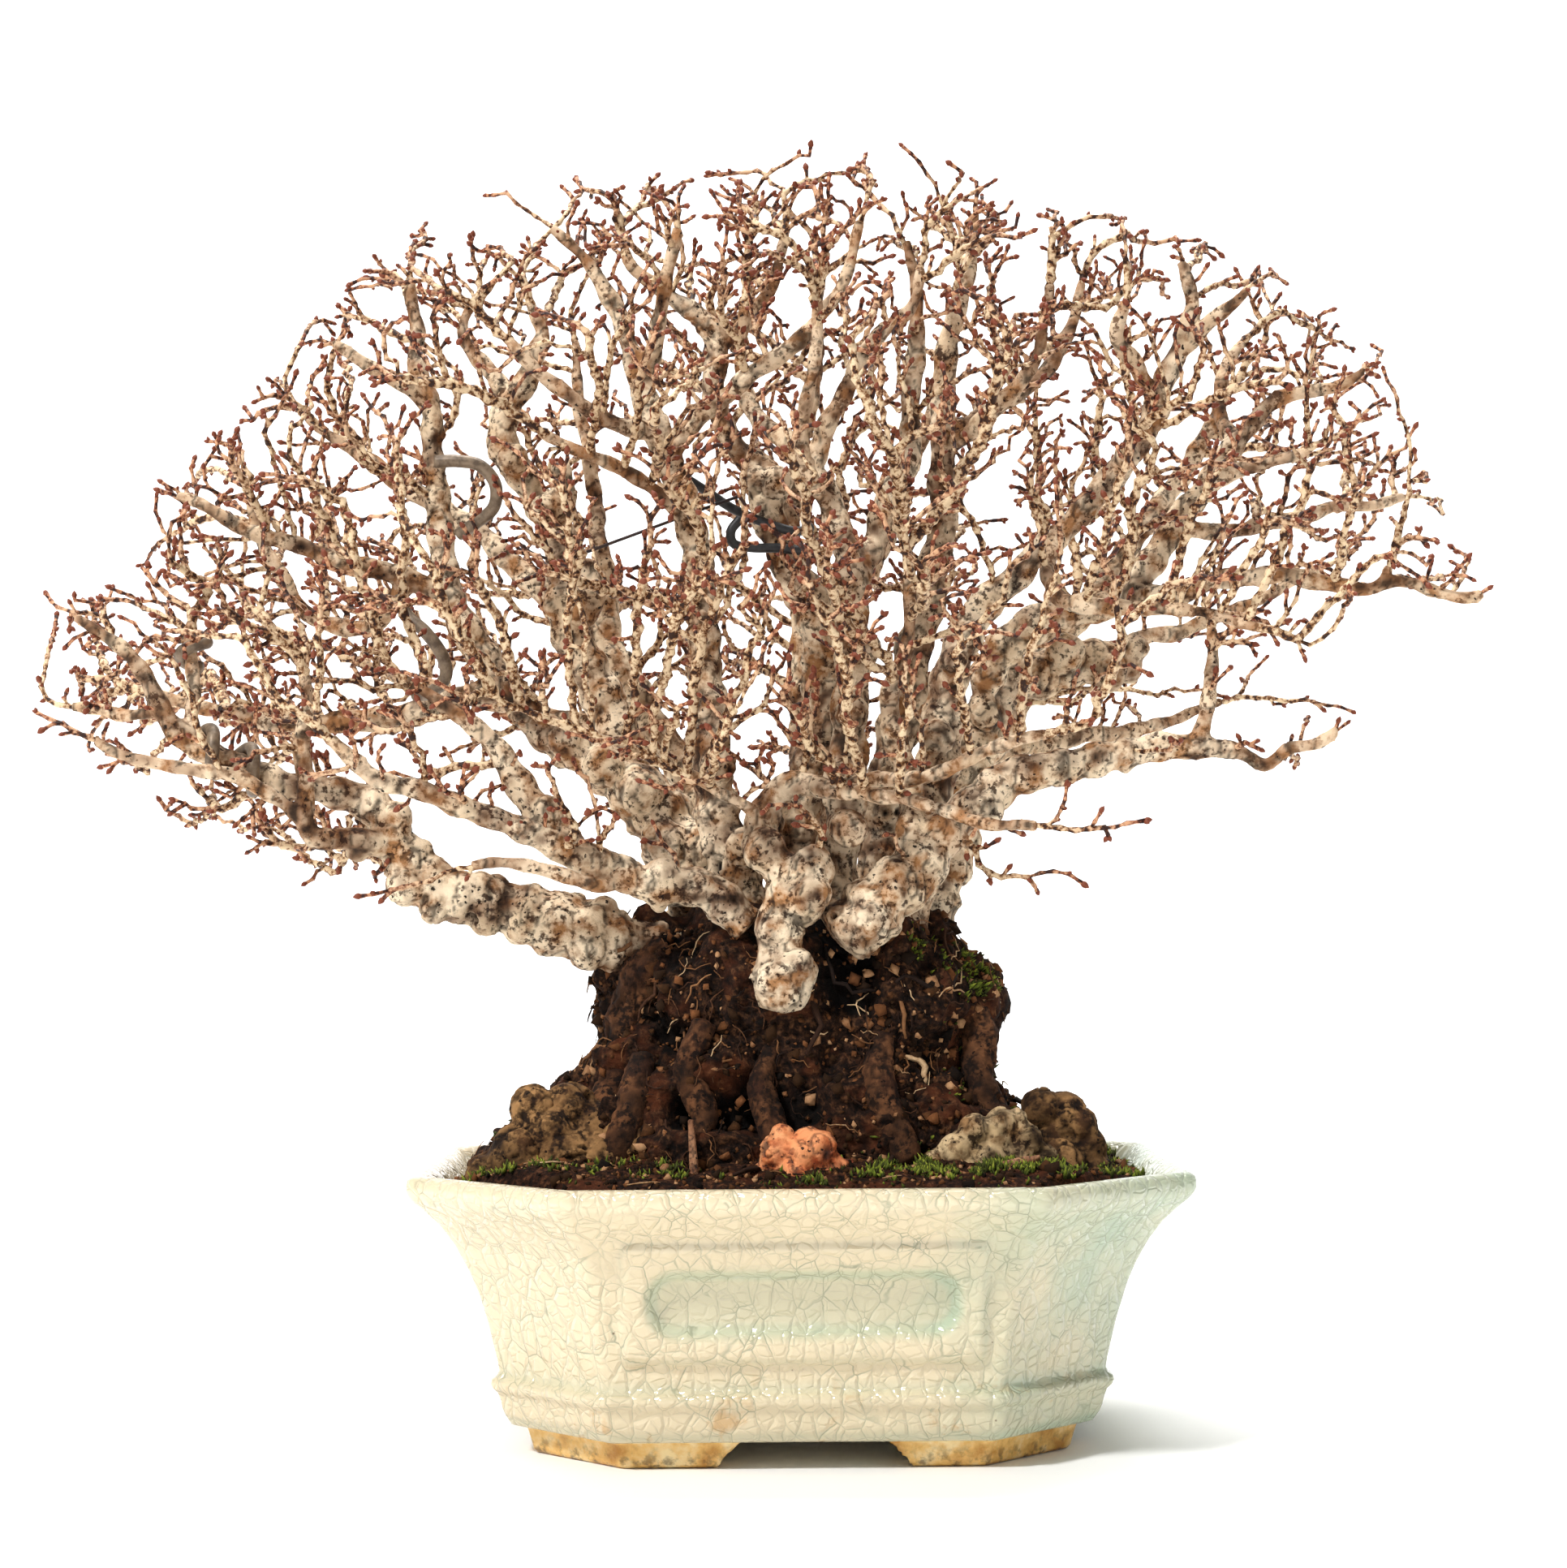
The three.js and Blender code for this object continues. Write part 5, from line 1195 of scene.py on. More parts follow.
@dataclass
class Scatter:
    """Small loose bits laid on the mound and the soil."""

    soil: Soil
    mound: RootMound

    def ground(self, x: Array, y: Array) -> tuple[Array, Array]:
        """Height of the bare surface under each place and its outward direction."""
        heights = np.linspace(159, 74, 120)
        turn = np.arctan2(y / 50, x / 80)
        reach_x, reach_y = self.mound.radius(turn[:, None], heights[None])
        inside = (x[:, None]**2 + y[:, None]**2) <= reach_x**2 + reach_y**2
        first = np.argmax(inside, axis=1)
        on_mound = inside.any(axis=1)
        earth = self.soil.surface_height(x, y)
        height = np.where(on_mound, heights[first], earth)
        steep = np.stack([x / 80, y / 50, np.full_like(x, 0.35)], axis=1)
        up = np.where((on_mound & (height > 86))[:, None], unit(steep), [0.0, 0.0, 1.0])
        return np.maximum(height, earth), up

    def places(self, rng: np.random.Generator, count: int, on_mound: float) -> tuple[Array, Array]:
        """Random places on the mound's flank and the open soil.

        Args:
            rng: random numbers.
            count: how many places.
            on_mound: share of them on the flank.

        Returns:
            Points and outward directions.
        """
        turn = rng.uniform(0, 2 * np.pi, count)
        height = rng.uniform(76, 156, count)
        x, y = self.mound.radius(turn, height)
        flank = np.stack([x, y, height], axis=1)
        out = unit(np.stack([x / 80, y / 50, np.full(count, 0.25)], axis=1))
        flank = flank + out * np.clip(self.mound.relief(flank), -4, 6)[:, None]
        base, step = self.soil.pot.outline(720, 3.0)
        pick = rng.integers(0, 720, count)
        inset = 13.5 + rng.random(count)**0.8 * 46
        flat = base[pick] + inset[:, None] * step[pick]
        level = np.column_stack([flat, self.soil.surface_height(flat[:, 0], flat[:, 1])])
        choose = (rng.random(count) < on_mound)[:, None]
        return np.where(choose, flank, level), np.where(choose, out, [0.0, 0.0, 1.0])

    def grains(self, name: str, count: int, size: tuple[float, float], on_mound: float,
               finish: Finish, seed: int) -> bpy.types.Object:
        """Crumbs: little eight-faced lumps, each stretched and turned at random.

        Args:
            name: name of the piece.
            count: how many crumbs.
            size: least and greatest half width in millimetres.
            on_mound: share of them on the mound.
            finish: what they are made of.
            seed: seed of their random numbers.

        Returns:
            The piece.
        """
        rng = np.random.default_rng(seed)
        middle, _ = self.places(rng, count, on_mound)
        axes = np.linalg.qr(rng.normal(size=(count, 3, 3)))[0]
        axes *= np.sign(np.linalg.det(axes))[:, None, None]
        lengths = rng.uniform(*size, (count, 1)) * rng.uniform(0.5, 1.2, (count, 3))
        corner = np.array([(1, 0, 0), (-1, 0, 0), (0, 1, 0), (0, -1, 0), (0, 0, 1), (0, 0, -1)])
        points = middle[:, None] + (corner[None] * lengths[:, None]) @ axes
        faces = np.array([(0, 2, 4), (2, 1, 4), (1, 3, 4), (3, 0, 4),
                          (2, 0, 5), (1, 2, 5), (3, 1, 5), (0, 3, 5)])
        every = faces[None] + 6 * np.arange(count)[:, None, None]
        tone = np.repeat(rng.random(count), 6)
        return make_piece(name, (points.reshape(-1, 3), every.reshape(-1, 3)), (finish,),
                          marks={"tone": tone})

    def threads(self, name: str, count: int, length: tuple[float, float],
                radius: tuple[float, float], on_mound: float, finish: Finish,
                seed: int) -> bpy.types.Object:
        """Rootlets: thin bars that wander over the surface and dip into it at both ends.

        Args:
            name: name of the piece.
            count: how many rootlets.
            length: least and greatest length in millimetres.
            radius: least and greatest radius in millimetres.
            on_mound: share of them on the mound.
            finish: what they are made of.
            seed: seed of their random numbers.

        Returns:
            The piece.
        """
        rng = np.random.default_rng(seed)
        middle, out = self.places(rng, count, on_mound)
        shells, tones = [], []
        for k in range(count):
            along = np.cross(out[k], rng.normal(size=3))
            along /= np.linalg.norm(along)
            across = np.cross(out[k], along)
            t = np.linspace(-0.5, 0.5, 8)
            reach = rng.uniform(*length)
            bend = rng.uniform(-0.35, 0.35) * reach
            path = (middle[k] + t[:, None] * reach * along
                    + ((4 * t**2 - 0.5) * bend + rng.normal(0, 0.04 * reach, 8))[:, None] * across
                    + ((0.25 - 1.6 * t**2) * reach * 0.16 + 0.6)[:, None] * out[k])
            shells.append(bar(path, rng.uniform(*radius) * (1.15 - np.abs(t)), 4))
            tones.append(np.full(40, rng.random()))
        return make_piece(name, join(shells), (finish,),
                          marks={"tone": np.concatenate(tones)})


@dataclass
class Moss:
    """Low cushions of moss made of many short leafy shoots."""

    scatter: Scatter
    # Middle x, middle y, half width, half depth, how many shoots.
    patches: tuple[tuple[float, float, float, float, int], ...] = (
        (40, -66, 22, 12, 2500), (66, -64, 16, 9, 1300), (-88, -54, 14, 12, 1100),
        (-60, -62, 20, 10, 500), (92, -44, 9, 10, 600), (2, -76, 16, 5, 160),
        (-34, -66, 16, 8, 200), (86, -30, 8, 10, 300), (70, 55, 24, 12, 1000),
        (-60, 60, 28, 12, 1000), (10, 74, 40, 8, 500), (98, 10, 6, 30, 500),
        (-102, 20, 6, 26, 450))
    # Flank of the mound: angle in degrees, height, spread along, spread up, how many shoots.
    climbing: tuple[tuple[float, float, float, float, int], ...] = (
        (-20, 134, 16, 14, 900), (-48, 146, 10, 6, 260), (-32, 100, 20, 9, 900),
        (200, 92, 20, 8, 300), (120, 120, 40, 16, 500))

    def build(self) -> bpy.types.Object:
        """Shoots: three-sided spikes 1.4 to 3.4 mm long that lean at random.

        Returns:
            The piece.
        """
        rng = np.random.default_rng(51)
        spots, ups = [], []
        for x, y, half_x, half_y, count in self.patches:
            place = rng.normal(0, 0.5, (count, 2)) * [half_x, half_y] + [x, y]
            height, up = self.scatter.ground(place[:, 0], place[:, 1])
            spots.append(np.column_stack([place, height]))
            ups.append(up)
        for turn, height, along, rise, count in self.climbing:
            angle = np.radians(turn + rng.normal(0, 0.5, count) * along)
            level = height + rng.normal(0, 0.5, count) * rise
            x, y = self.scatter.mound.radius(angle, level)
            place = np.stack([x, y, level], axis=1)
            up = unit(np.stack([x / 80, y / 50, np.full(count, 0.5)], axis=1))
            spots.append(place + up * np.clip(self.scatter.mound.relief(place), -3, 6)[:, None])
            ups.append(up)
        spot, up = np.concatenate(spots), np.concatenate(ups)
        clump = Noise(52).waves(spot, 5.0)
        keep = clump + 0.7 * Noise(53).waves(spot, 2.1) > 0.22
        keep &= self.scatter.soil.holds(spot)
        spot, up, clump = spot[keep], up[keep], clump[keep]
        count = len(spot)
        lean = unit(up + rng.normal(0, 0.45, (count, 3)))
        side = unit(np.cross(lean, rng.normal(size=(count, 3))))
        other = np.cross(lean, side)
        tall = rng.uniform(0.9, 2.4, count) * (1 + 0.5 * np.clip(clump, 0, 1))
        wide = rng.uniform(0.35, 0.7, count)
        turn = np.arange(3) * 2 * np.pi / 3
        ring = (np.cos(turn)[None, :, None] * side[:, None]
                + np.sin(turn)[None, :, None] * other[:, None])
        foot = spot - 0.6 * lean
        low = foot[:, None] + ring * wide[:, None, None] * 0.7
        high = foot[:, None] + (lean * tall[:, None] * 0.6)[:, None] + ring * wide[:, None, None]
        tip = foot[:, None] + (lean * tall[:, None] * 1.25)[:, None]
        points = np.concatenate([foot[:, None] - 0.1 * lean[:, None], low, high, tip], axis=1)
        faces = [(0, 2, 1), (0, 3, 2), (0, 1, 3)]
        for a, b in ((0, 1), (1, 2), (2, 0)):
            faces += [(1 + a, 1 + b, 4 + b), (1 + a, 4 + b, 4 + a), (4 + a, 4 + b, 7)]
        every = np.array(faces)[None] + 8 * np.arange(count)[:, None, None]
        tone = np.clip(rng.random(count)[:, None] * 0.6
                       + np.array([0, 0, 0, 0, 0.25, 0.25, 0.25, 0.45])[None], 0, 1)
        return make_piece("moss_cushions", (points.reshape(-1, 3), every.reshape(-1, 3)),
                          (MOSS_LEAF,), tuple(
                              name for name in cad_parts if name.startswith("moss")),
                          {"tone": tone.ravel()})


# ---------------------------------------------------------------- the tree


@dataclass
class Skin:
    """Bark relief for a melted skin, scaled by how thick the limb is at each point."""

    seed: int
    roughness: float = 1.0

    def roughen(self, shell: Shell, stations: Array, tangents: Array) -> tuple[Array, dict]:
        """Push the skin out and in by burls, ridges, wrinkles across the limb and pits.

        Args:
            shell: points and quads of the smooth skin.
            stations: rows of x, y, z, radius along the limbs.
            tangents: direction of the limb at each station.

        Returns:
            The new points, and the marks for the bark finish: the age, and painted shade in the
            hollows and in the low places of the relief.
        """
        points = shell[0]
        near = nearest(points, stations[:, :3])
        radius = stations[near, 3]
        along = np.sum((points - stations[near, :3]) * tangents[near], axis=1) + near * 2.0
        size = np.clip(radius / 8, 0.16, 1.0) * self.roughness
        noise = Noise(self.seed)
        burls = noise.fractal(points, 15.0, 3)
        ridges = Noise(self.seed + 10).fractal(points, 3.4, 2)
        grain = Noise(self.seed + 20).waves(points, 1.3)
        swirl = np.stack([along / 1.7 + ridges * 1.1, points[:, 0] / 9, points[:, 1] / 9], axis=1)
        wrinkles = Noise(self.seed + 30).waves(swirl, 1.0)
        pits = Noise(self.seed + 40).pits(points + ridges[:, None], 3.3, 0.22)
        big_pits = Noise(self.seed + 50).pits(points, 7.5, 0.13) * np.clip((radius - 4) / 4, 0, 1)
        folds = 1 - np.abs(Noise(self.seed + 60).waves(swirl * [0.5, 1.6, 1.6], 1.0)) * 2
        out = size * (1.25 * burls + 0.24 * ridges + 0.1 * grain + 0.2 * wrinkles)
        out -= size * 0.6 * np.clip(folds - 0.72, 0, 1) / 0.28
        out -= np.minimum(0.6 * pits, 0.25 * radius) * np.clip(radius / 3, 0.3, 1)
        out -= 3.0 * np.sqrt(big_pits) * size
        moved = points + point_normals(shell) * out[:, None]
        # Painted shade marks: the first darkens the pits, folds and lowest places of the relief,
        # the last browns its low places.
        hollow_shade = np.clip(1.2 * pits - 0.2, 0, 0.9) * np.clip(radius / 3, 0.5, 1)
        hollow_shade = np.maximum(hollow_shade, np.clip(1.6 * big_pits, 0, 1))
        hollow_shade = np.maximum(hollow_shade, np.clip((folds - 0.74) * 4, 0, 0.8))
        hollow_shade = np.maximum(hollow_shade, np.clip(-0.7 - 1.1 * ridges - 0.8 * burls, 0, 0.9))
        valley_shade = np.clip(0.18 - 0.75 * burls - 0.5 * ridges, 0, 0.85)
        return moved, {"age": np.clip(radius / 8, 0, 1), "hollow_shade": np.clip(hollow_shade, 0, 1),
                       "valley_shade": valley_shade}


@dataclass
class Trunk:
    """One stem of the clump with its limbs, melted into a single skin of bark."""

    name: str
    seed: int
    thinnest: float = 1.75
    routes: list[Array] = field(default_factory=list)

    def __post_init__(self) -> None:
        """Smooth the listed routes and let the thin ones wander a little."""
        rng = np.random.default_rng(self.seed)
        for route in TRUNKS[self.name]:
            smooth = smooth_route(route, 2.0)
            wander = Noise(self.seed + 70)
            shift = np.stack([wander.waves(smooth[:, :3] + 50 * k, 11.0) for k in range(3)], axis=1)
            fade = np.clip(np.arange(len(smooth)) / 5, 0, 1)[:, None]
            smooth[:, :3] += shift * fade * 1.3
            smooth[:, 3] *= 1 + 0.10 * np.sin(np.arange(len(smooth)) * rng.uniform(0.9, 1.3)
                                              + rng.uniform(0, 6))
            self.routes.append(smooth)

    def build(self) -> bpy.types.Object:
        """Melt the bars, burls and random knots together and give them bark relief.

        Returns:
            The piece.
        """
        rng = np.random.default_rng(self.seed + 1)
        shells, tangents, stations = [], [], []
        for whole in self.routes:
            last = np.flatnonzero(whole[:, 3] >= self.thinnest)[-1:]
            route = whole[:max(int(last[0]) + 3, 4)] if len(last) else whole[:4]
            tangents.append(unit(np.gradient(route[:, :3], axis=0)))
            stations.append(route)
            shells.append(bar(route[:, :3], np.maximum(route[:, 3], 0.9), 14))
            for station, tangent in zip(route, tangents[-1]):
                if station[3] > 1.2 and rng.random() < (0.16 if station[3] < 4.5 else 0.08):
                    away = np.cross(tangent, rng.normal(size=3))
                    away /= np.linalg.norm(away)
                    knot = max(0.42 * station[3] * rng.uniform(0.8, 1.3), 1.0)
                    place = station[:3] + away * station[3] * rng.uniform(0.6, 0.95)
                    shells.append(ball((*place, knot), 7, 9))
        shells += [ball(burl) for burl in BURLS.get(self.name, ())]
        skin = melt(join(shells), 0.8)
        moved, marks = Skin(self.seed + 2).roughen(
            skin, np.concatenate(stations), np.concatenate(tangents))
        return make_piece(f"{self.name}_bark", (moved, skin[1]), (BARK,),
                          (self.name,), marks)


@dataclass
class Knobs:
    """Old root lumps that stand out of the soil beside the mound."""

    # Balls that melt into each lump: (x, y, z, radius).
    lumps: tuple[tuple[str, tuple[Station, ...], bool], ...] = (
        ("root_knob_left", (
            (-76, -38, 93, 11), (-79, -40, 101, 7), (-68, -37, 101, 8), (-84, -44, 88, 9),
            (-90, -42, 81, 9), (-68, -42, 86, 11), (-58, -42, 84, 11), (-98, -40, 76, 6),
            (-72, -44, 95, 6), (-60, -38, 95, 8), (-79, -50, 80, 7), (-50, -42, 92, 9)), False),
        ("root_knob_right", (
            (56, -50, 90, 7), (50, -53, 95, 5), (58, -52, 97, 4.5), (66, -51, 92, 5),
            (45, -53, 89, 6), (62, -53, 85, 6), (54, -55, 86, 6), (40, -52, 85, 5.5),
            (71, -50, 87, 4.5), (48, -54, 82, 6), (63, -50, 98, 3)), True),
        ("root_knob_dark", (
            (75, -30, 92, 9), (71, -34, 100, 6.5), (79, -32, 98, 7), (85, -33, 88, 7),
            (77, -36, 83, 9), (87, -35, 80, 7), (83, -34, 94, 6), (92, -34, 76, 5)), False),
    )

    def build(self) -> list[bpy.types.Object]:
        """Each lump melted from its balls and roughened.

        Returns:
            The pieces.
        """
        made = []
        for k, (name, balls, barked) in enumerate(self.lumps):
            skin = melt(join([ball(one, 11, 16) for one in balls]), 0.7)
            stations = np.array(balls, float) * [1, 1, 1, 0.8]
            upright = np.tile([0.0, 0.0, 1.0], (len(balls), 1))
            moved, marks = Skin(400 + 60 * k, 1.5).roughen(skin, stations, upright)
            finish, slot = (STUMP_BARK, Slot.BARK) if barked else (KNOB_BARK, Slot.ROOTS)
            made.append(make_piece(f"{name}_skin", (moved, skin[1]), (finish,),
                                   (name,), marks))
        return made


@dataclass
class BuriedRoots:
    """Thick old roots that run down the mound into the soil, half sunk in it."""

    routes: tuple[tuple[Station, ...], ...] = (
        ((-38, -18, 147, 8), (-47, -20, 136, 8.5), (-52, -22, 124, 7), (-54, -26, 112, 5),
         (-58, -34, 100, 5)),
        ((-8, -42, 118, 3.5), (-12, -47, 108, 4), (-9, -52, 98, 4.5), (-6, -57, 88, 5)),
        ((24, -40, 122, 4), (22, -46, 110, 5), (26, -50, 98, 5), (31, -54, 86, 4)),
        ((-28, -42, 126, 3.5), (-33, -45, 112, 4), (-28, -50, 98, 4), (-34, -55, 86, 4)),
        ((50, -20, 136, 6), (54, -24, 122, 6), (53, -30, 108, 5), (60, -38, 94, 5)),
        ((-46, -36, 116, 4), (-49, -42, 104, 5), (-52, -46, 94, 5), (-56, -48, 84, 5)),
        ((2, 46, 124, 6), (-6, 52, 104, 6), (-12, 60, 80, 6)),
        ((40, 38, 126, 5), (50, 46, 102, 6), (60, 52, 78, 6)),
        ((-44, 38, 124, 5), (-54, 46, 100, 6), (-64, 52, 78, 5)))

    def build(self) -> bpy.types.Object:
        """Bars melted together and made as rough as the mound.

        Returns:
            The piece.
        """
        smooth = [smooth_route(route, 2.0) for route in self.routes]
        skin = melt(join([bar(one[:, :3], one[:, 3], 14) for one in smooth]), 0.9)
        tangents = np.concatenate([unit(np.gradient(one[:, :3], axis=0)) for one in smooth])
        moved, marks = Skin(700, 1.7).roughen(skin, np.concatenate(smooth), tangents)
        # Painted shade from the bark relief, and dark patches at random from a second noise.
        hollow_shade = np.maximum(marks["hollow_shade"], np.clip(Noise(701).waves(moved, 7.0), 0, 0.8))
        return make_piece("buried_roots_skin", (moved, skin[1]), (OLD_ROOT,),
                          ("root_mound",), {"age": marks["age"], "hollow_shade": hollow_shade,
                                              "valley_shade": marks["valley_shade"]})


@dataclass
class Growth:
    """How one stage of growth behaves, in millimetres."""

    count: int
    clump: float
    inner: float
    step: float
    reach: float
    near: float
    drift: float
    jitter: float
    rounds: int


@dataclass
class Crown:
    """All the thin growth: shoots that reach for free space inside the crown's outline.

    Points of free space are scattered in clumps. Step by step, every tip of growth moves
    towards the points that are nearest to it, and a point is dropped once growth is close, so
    shoots fork and fill the crown without crossing more than real ones do. Branches come
    first, in wide steps, and fine twigs then grow from all of them.
    """

    trunks: list[Trunk]
    branches: Growth = field(default_factory=lambda: Growth(
        2500, 0.0, 0.55, 4.2, 46.0, 9.4, 0.55, 0.10, 70))
    fine: Growth = field(default_factory=lambda: Growth(
        8600, 1.0, 0.15, 3.4, 22.0, 5.0, 0.5, 0.16, 34))
    # Thickets and windows seen from the front: x, z, half width, half height, share of growth.
    thickets: tuple[tuple[float, float, float, float, float], ...] = (
        (-64, 307, 36, 28, 0.2), (72, 252, 22, 20, 0.4), (118, 240, 36, 26, 0.4),
        (134, 342, 20, 14, 0.7), (6, 225, 26, 40, 4.0), (-110, 192, 56, 26, 6.0),
        (-4, 366, 36, 13, 2.4), (164, 298, 22, 20, 0.5), (-22, 254, 18, 16, 3.0))
    tip_radius: float = 0.58
    young_limit: float = 3.4
    seed: int = 71
    points: Array = field(default_factory=lambda: np.zeros((0, 3)))
    parents: Array = field(default_factory=lambda: np.zeros(0, int))
    owners: Array = field(default_factory=lambda: np.zeros(0, int))
    limits: Array = field(default_factory=lambda: np.zeros(0))

    def inside(self, points: Array) -> Array:
        """Whether points are in the crown: the outline shrinks about its core with depth.

        The outline at depth y is scaled by (1 - (y / half depth)^p)^(1/p), p being 2.6 in front
        and 4 behind, where the half depth widens with height like a vase; the outline is that
        seen from VIEW_FROM. A point is inside if its ray crosses the outline an odd number of
        times.

        Args:
            points: places in millimetres.

        Returns:
            True for each place that is inside.
        """
        half_depth = CROWN_HALF_DEPTH * np.clip((points[:, 2] - 85) / 160, 0.36, 1)
        power = np.where(points[:, 1] > 0, 4.0, 2.6)
        share = (np.abs(points[:, 1]) / half_depth)**power
        scale = np.clip(1 - share, 1e-4, 1)**(1 / power)
        closer = 1 - points[:, 1] / VIEW_FROM[1]
        x = VIEW_FROM[0] + (points[:, 0] - VIEW_FROM[0]) / closer
        z = VIEW_FROM[2] + (points[:, 2] - VIEW_FROM[2]) / closer
        x = (x - CROWN_CORE[0]) / scale + CROWN_CORE[0]
        z = (z - CROWN_CORE[1]) / scale + CROWN_CORE[1]
        edge = np.array(CROWN_OUTLINE)
        ahead = np.roll(edge, -1, axis=0)
        crosses = (edge[None, :, 1] > z[:, None]) != (ahead[None, :, 1] > z[:, None])
        rise = ahead[:, 1] - edge[:, 1]
        at = edge[:, 0] + (z[:, None] - edge[:, 1]) * (ahead[:, 0] - edge[:, 0]) / np.where(
            rise == 0, TINY, rise)
        return np.sum(crosses & (x[:, None] < at), axis=1) % 2 == 1

    def free_space(self, stage: Growth, rng: np.random.Generator) -> Array:
        """Places for growth, in clumps, denser towards the outside of the crown.

        Args:
            stage: how many places, and how clumped.
            rng: random numbers.

        Returns:
            The places.
        """
        low = np.array([-240, -CROWN_HALF_DEPTH, 150])
        high = np.array([220, CROWN_HALF_DEPTH, 396])
        places = rng.uniform(low, high, (stage.count * 14, 3))
        places = places[self.inside(places)]
        clump = Noise(self.seed).waves(places, 24.0)
        core = np.linalg.norm((places - [CROWN_CORE[0], 0, 165]) / [215, 112, 225], axis=1)
        chance = 0.6 * np.clip(0.6 + stage.clump * clump, 0.05, 1)
        chance *= np.clip((core - 0.32) * 1.7, stage.inner, 1)
        for x, z, half_x, half_z, share in self.thickets:
            chance *= 1 + (share - 1) * np.exp(
                -((places[:, 0] - x) / half_x)**2 - ((places[:, 2] - z) / half_z)**2)
        places = places[rng.random(len(places)) < chance]
        return places[:stage.count]

    def plant(self) -> None:
        """Start from the limbs: thick stations stay put, thin ends become young wood."""
        points, parents, owners, limits = [], [], [], []
        total = 0
        for k, trunk in enumerate(self.trunks):
            for route in trunk.routes:
                chosen = route[route[:, 3] < 5.5][::2]
                thin = chosen[:, 3] < trunk.thinnest
                index = np.arange(len(chosen)) + total
                points.append(chosen[:, :3])
                parents.append(np.where(thin, index - 1, -1))
                parents[-1][:1] = -1
                owners.append(np.full(len(chosen), k))
                limits.append(chosen[:, 3])
                total += len(chosen)
        self.points, self.parents = np.concatenate(points), np.concatenate(parents)
        self.owners, self.limits = np.concatenate(owners), np.concatenate(limits)

    def grow(self, stage: Growth, seed: int) -> None:
        """Grow shoots from everything so far until the stage's free space is used up.

        Each tip steps along the sum of the directions to its places, its own heading, the way
        out of the crown and a little chance.

        Args:
            stage: how this growth behaves.
            seed: seed of its random numbers.
        """
        rng = np.random.default_rng(seed)
        nodes = self.points
        rooted = self.parents >= 0
        heading = np.where(rooted[:, None], unit(nodes - nodes[self.parents]), 0.0)
        space = self.free_space(stage, rng)
        best, host = self.closest(space, nodes, 0)
        keep = best > stage.near * 1.2
        space, best, host = space[keep], best[keep], host[keep]
        stale = np.zeros(len(space), int)
        for _ in range(stage.rounds):
            pull = unit(space - nodes[host])
            outward = unit(nodes[host] - CROWN_FOOT)
            ahead = np.sum(pull * (heading[host] + 0.9 * outward), axis=1)
            active = (best < stage.reach) & (ahead > 0.12)
            if not active.any():
                break
            pull = pull[active]
            grown, inverse = np.unique(host[active], return_inverse=True)
            aim = np.stack([np.bincount(inverse, pull[:, k], len(grown)) for k in range(3)], 1)
            outward = unit(nodes[grown] - CROWN_FOOT)
            aim = unit(aim) + 0.45 * heading[grown] + stage.drift * outward + [0, 0, 0.05]
            aim = unit(unit(aim) + rng.normal(0, stage.jitter, aim.shape))
            fresh = nodes[grown] + aim * stage.step * rng.uniform(0.8, 1.2, (len(grown), 1))
            start = len(nodes)
            nodes = np.concatenate([nodes, fresh])
            heading = np.concatenate([heading, aim])
            self.parents = np.concatenate([self.parents, grown])
            self.owners = np.concatenate([self.owners, self.owners[grown]])
            distance, index = self.closest(space, fresh, start)
            closer = distance < best - 0.3
            host = np.where(closer, index, host)
            best = np.where(closer, distance, best)
            stale = np.where(closer, 0, stale + 1)
            keep = (best > stage.near) & (stale < 2)
            space, best, host, stale = space[keep], best[keep], host[keep], stale[keep]
            if not len(space):
                break
        self.limits = np.concatenate([
            self.limits, np.full(len(nodes) - len(self.limits), self.young_limit)])
        self.points = nodes

    def closest(self, space: Array, nodes: Array, start: int) -> tuple[Array, Array]:
        """Distance to, and index of, the node nearest to each place."""
        index = nearest(space, nodes)
        return np.linalg.norm(space - nodes[index], axis=1), index + start

    def spurs(self) -> None:
        """Side spurs of one or two steps on young growth, where next year's buds sit."""
        rng = np.random.default_rng(self.seed + 1)
        rooted = np.flatnonzero(self.parents >= 0)
        host = rng.choice(rooted, int(0.26 * len(rooted)), replace=False)
        ahead = unit(self.points[host] - self.points[self.parents[host]])
        away = unit(np.cross(ahead, rng.normal(size=ahead.shape)))
        aim = unit(0.6 * ahead + 0.9 * away + [0, 0, 0.15])
        fresh = self.points[host] + aim * rng.uniform(2.0, 4.0, (len(host), 1))
        again = rng.random(len(host)) < 0.4
        second = fresh[again] + unit(aim[again] + rng.normal(0, 0.3, (again.sum(), 3))) * 2.6
        start = len(self.points)
        added = len(host) + len(second)
        self.points = np.concatenate([self.points, fresh, second])
        self.parents = np.concatenate([self.parents, host, start + np.flatnonzero(again)])
        self.owners = np.concatenate([self.owners, self.owners[host], self.owners[host[again]]])
        self.limits = np.concatenate([self.limits, np.full(added, self.young_limit)])

    def thickness(self) -> tuple[Array, Array]:
        """Radius of each node, and how many steps it is from its farthest tip.

        radius^2.5 is nearly the sum of that of what the node carries.

        Returns:
            Radius and steps of every node.
        """
        power = 2.5
        steps = [0] * len(self.points)
        flow = [0.0] * len(self.points)
        least = self.tip_radius**power
        parents = self.parents.tolist()
        for k in range(len(flow) - 1, -1, -1):
            flow[k] = max(flow[k], least)
            if parents[k] >= 0:
                flow[parents[k]] += 0.93 * flow[k]
                steps[parents[k]] = max(steps[parents[k]], steps[k] + 1)
        radius = np.array(flow)**(1 / power)
        radius = np.clip(np.minimum(radius, self.limits), self.tip_radius, 3.0)
        return radius, np.array(steps, float)

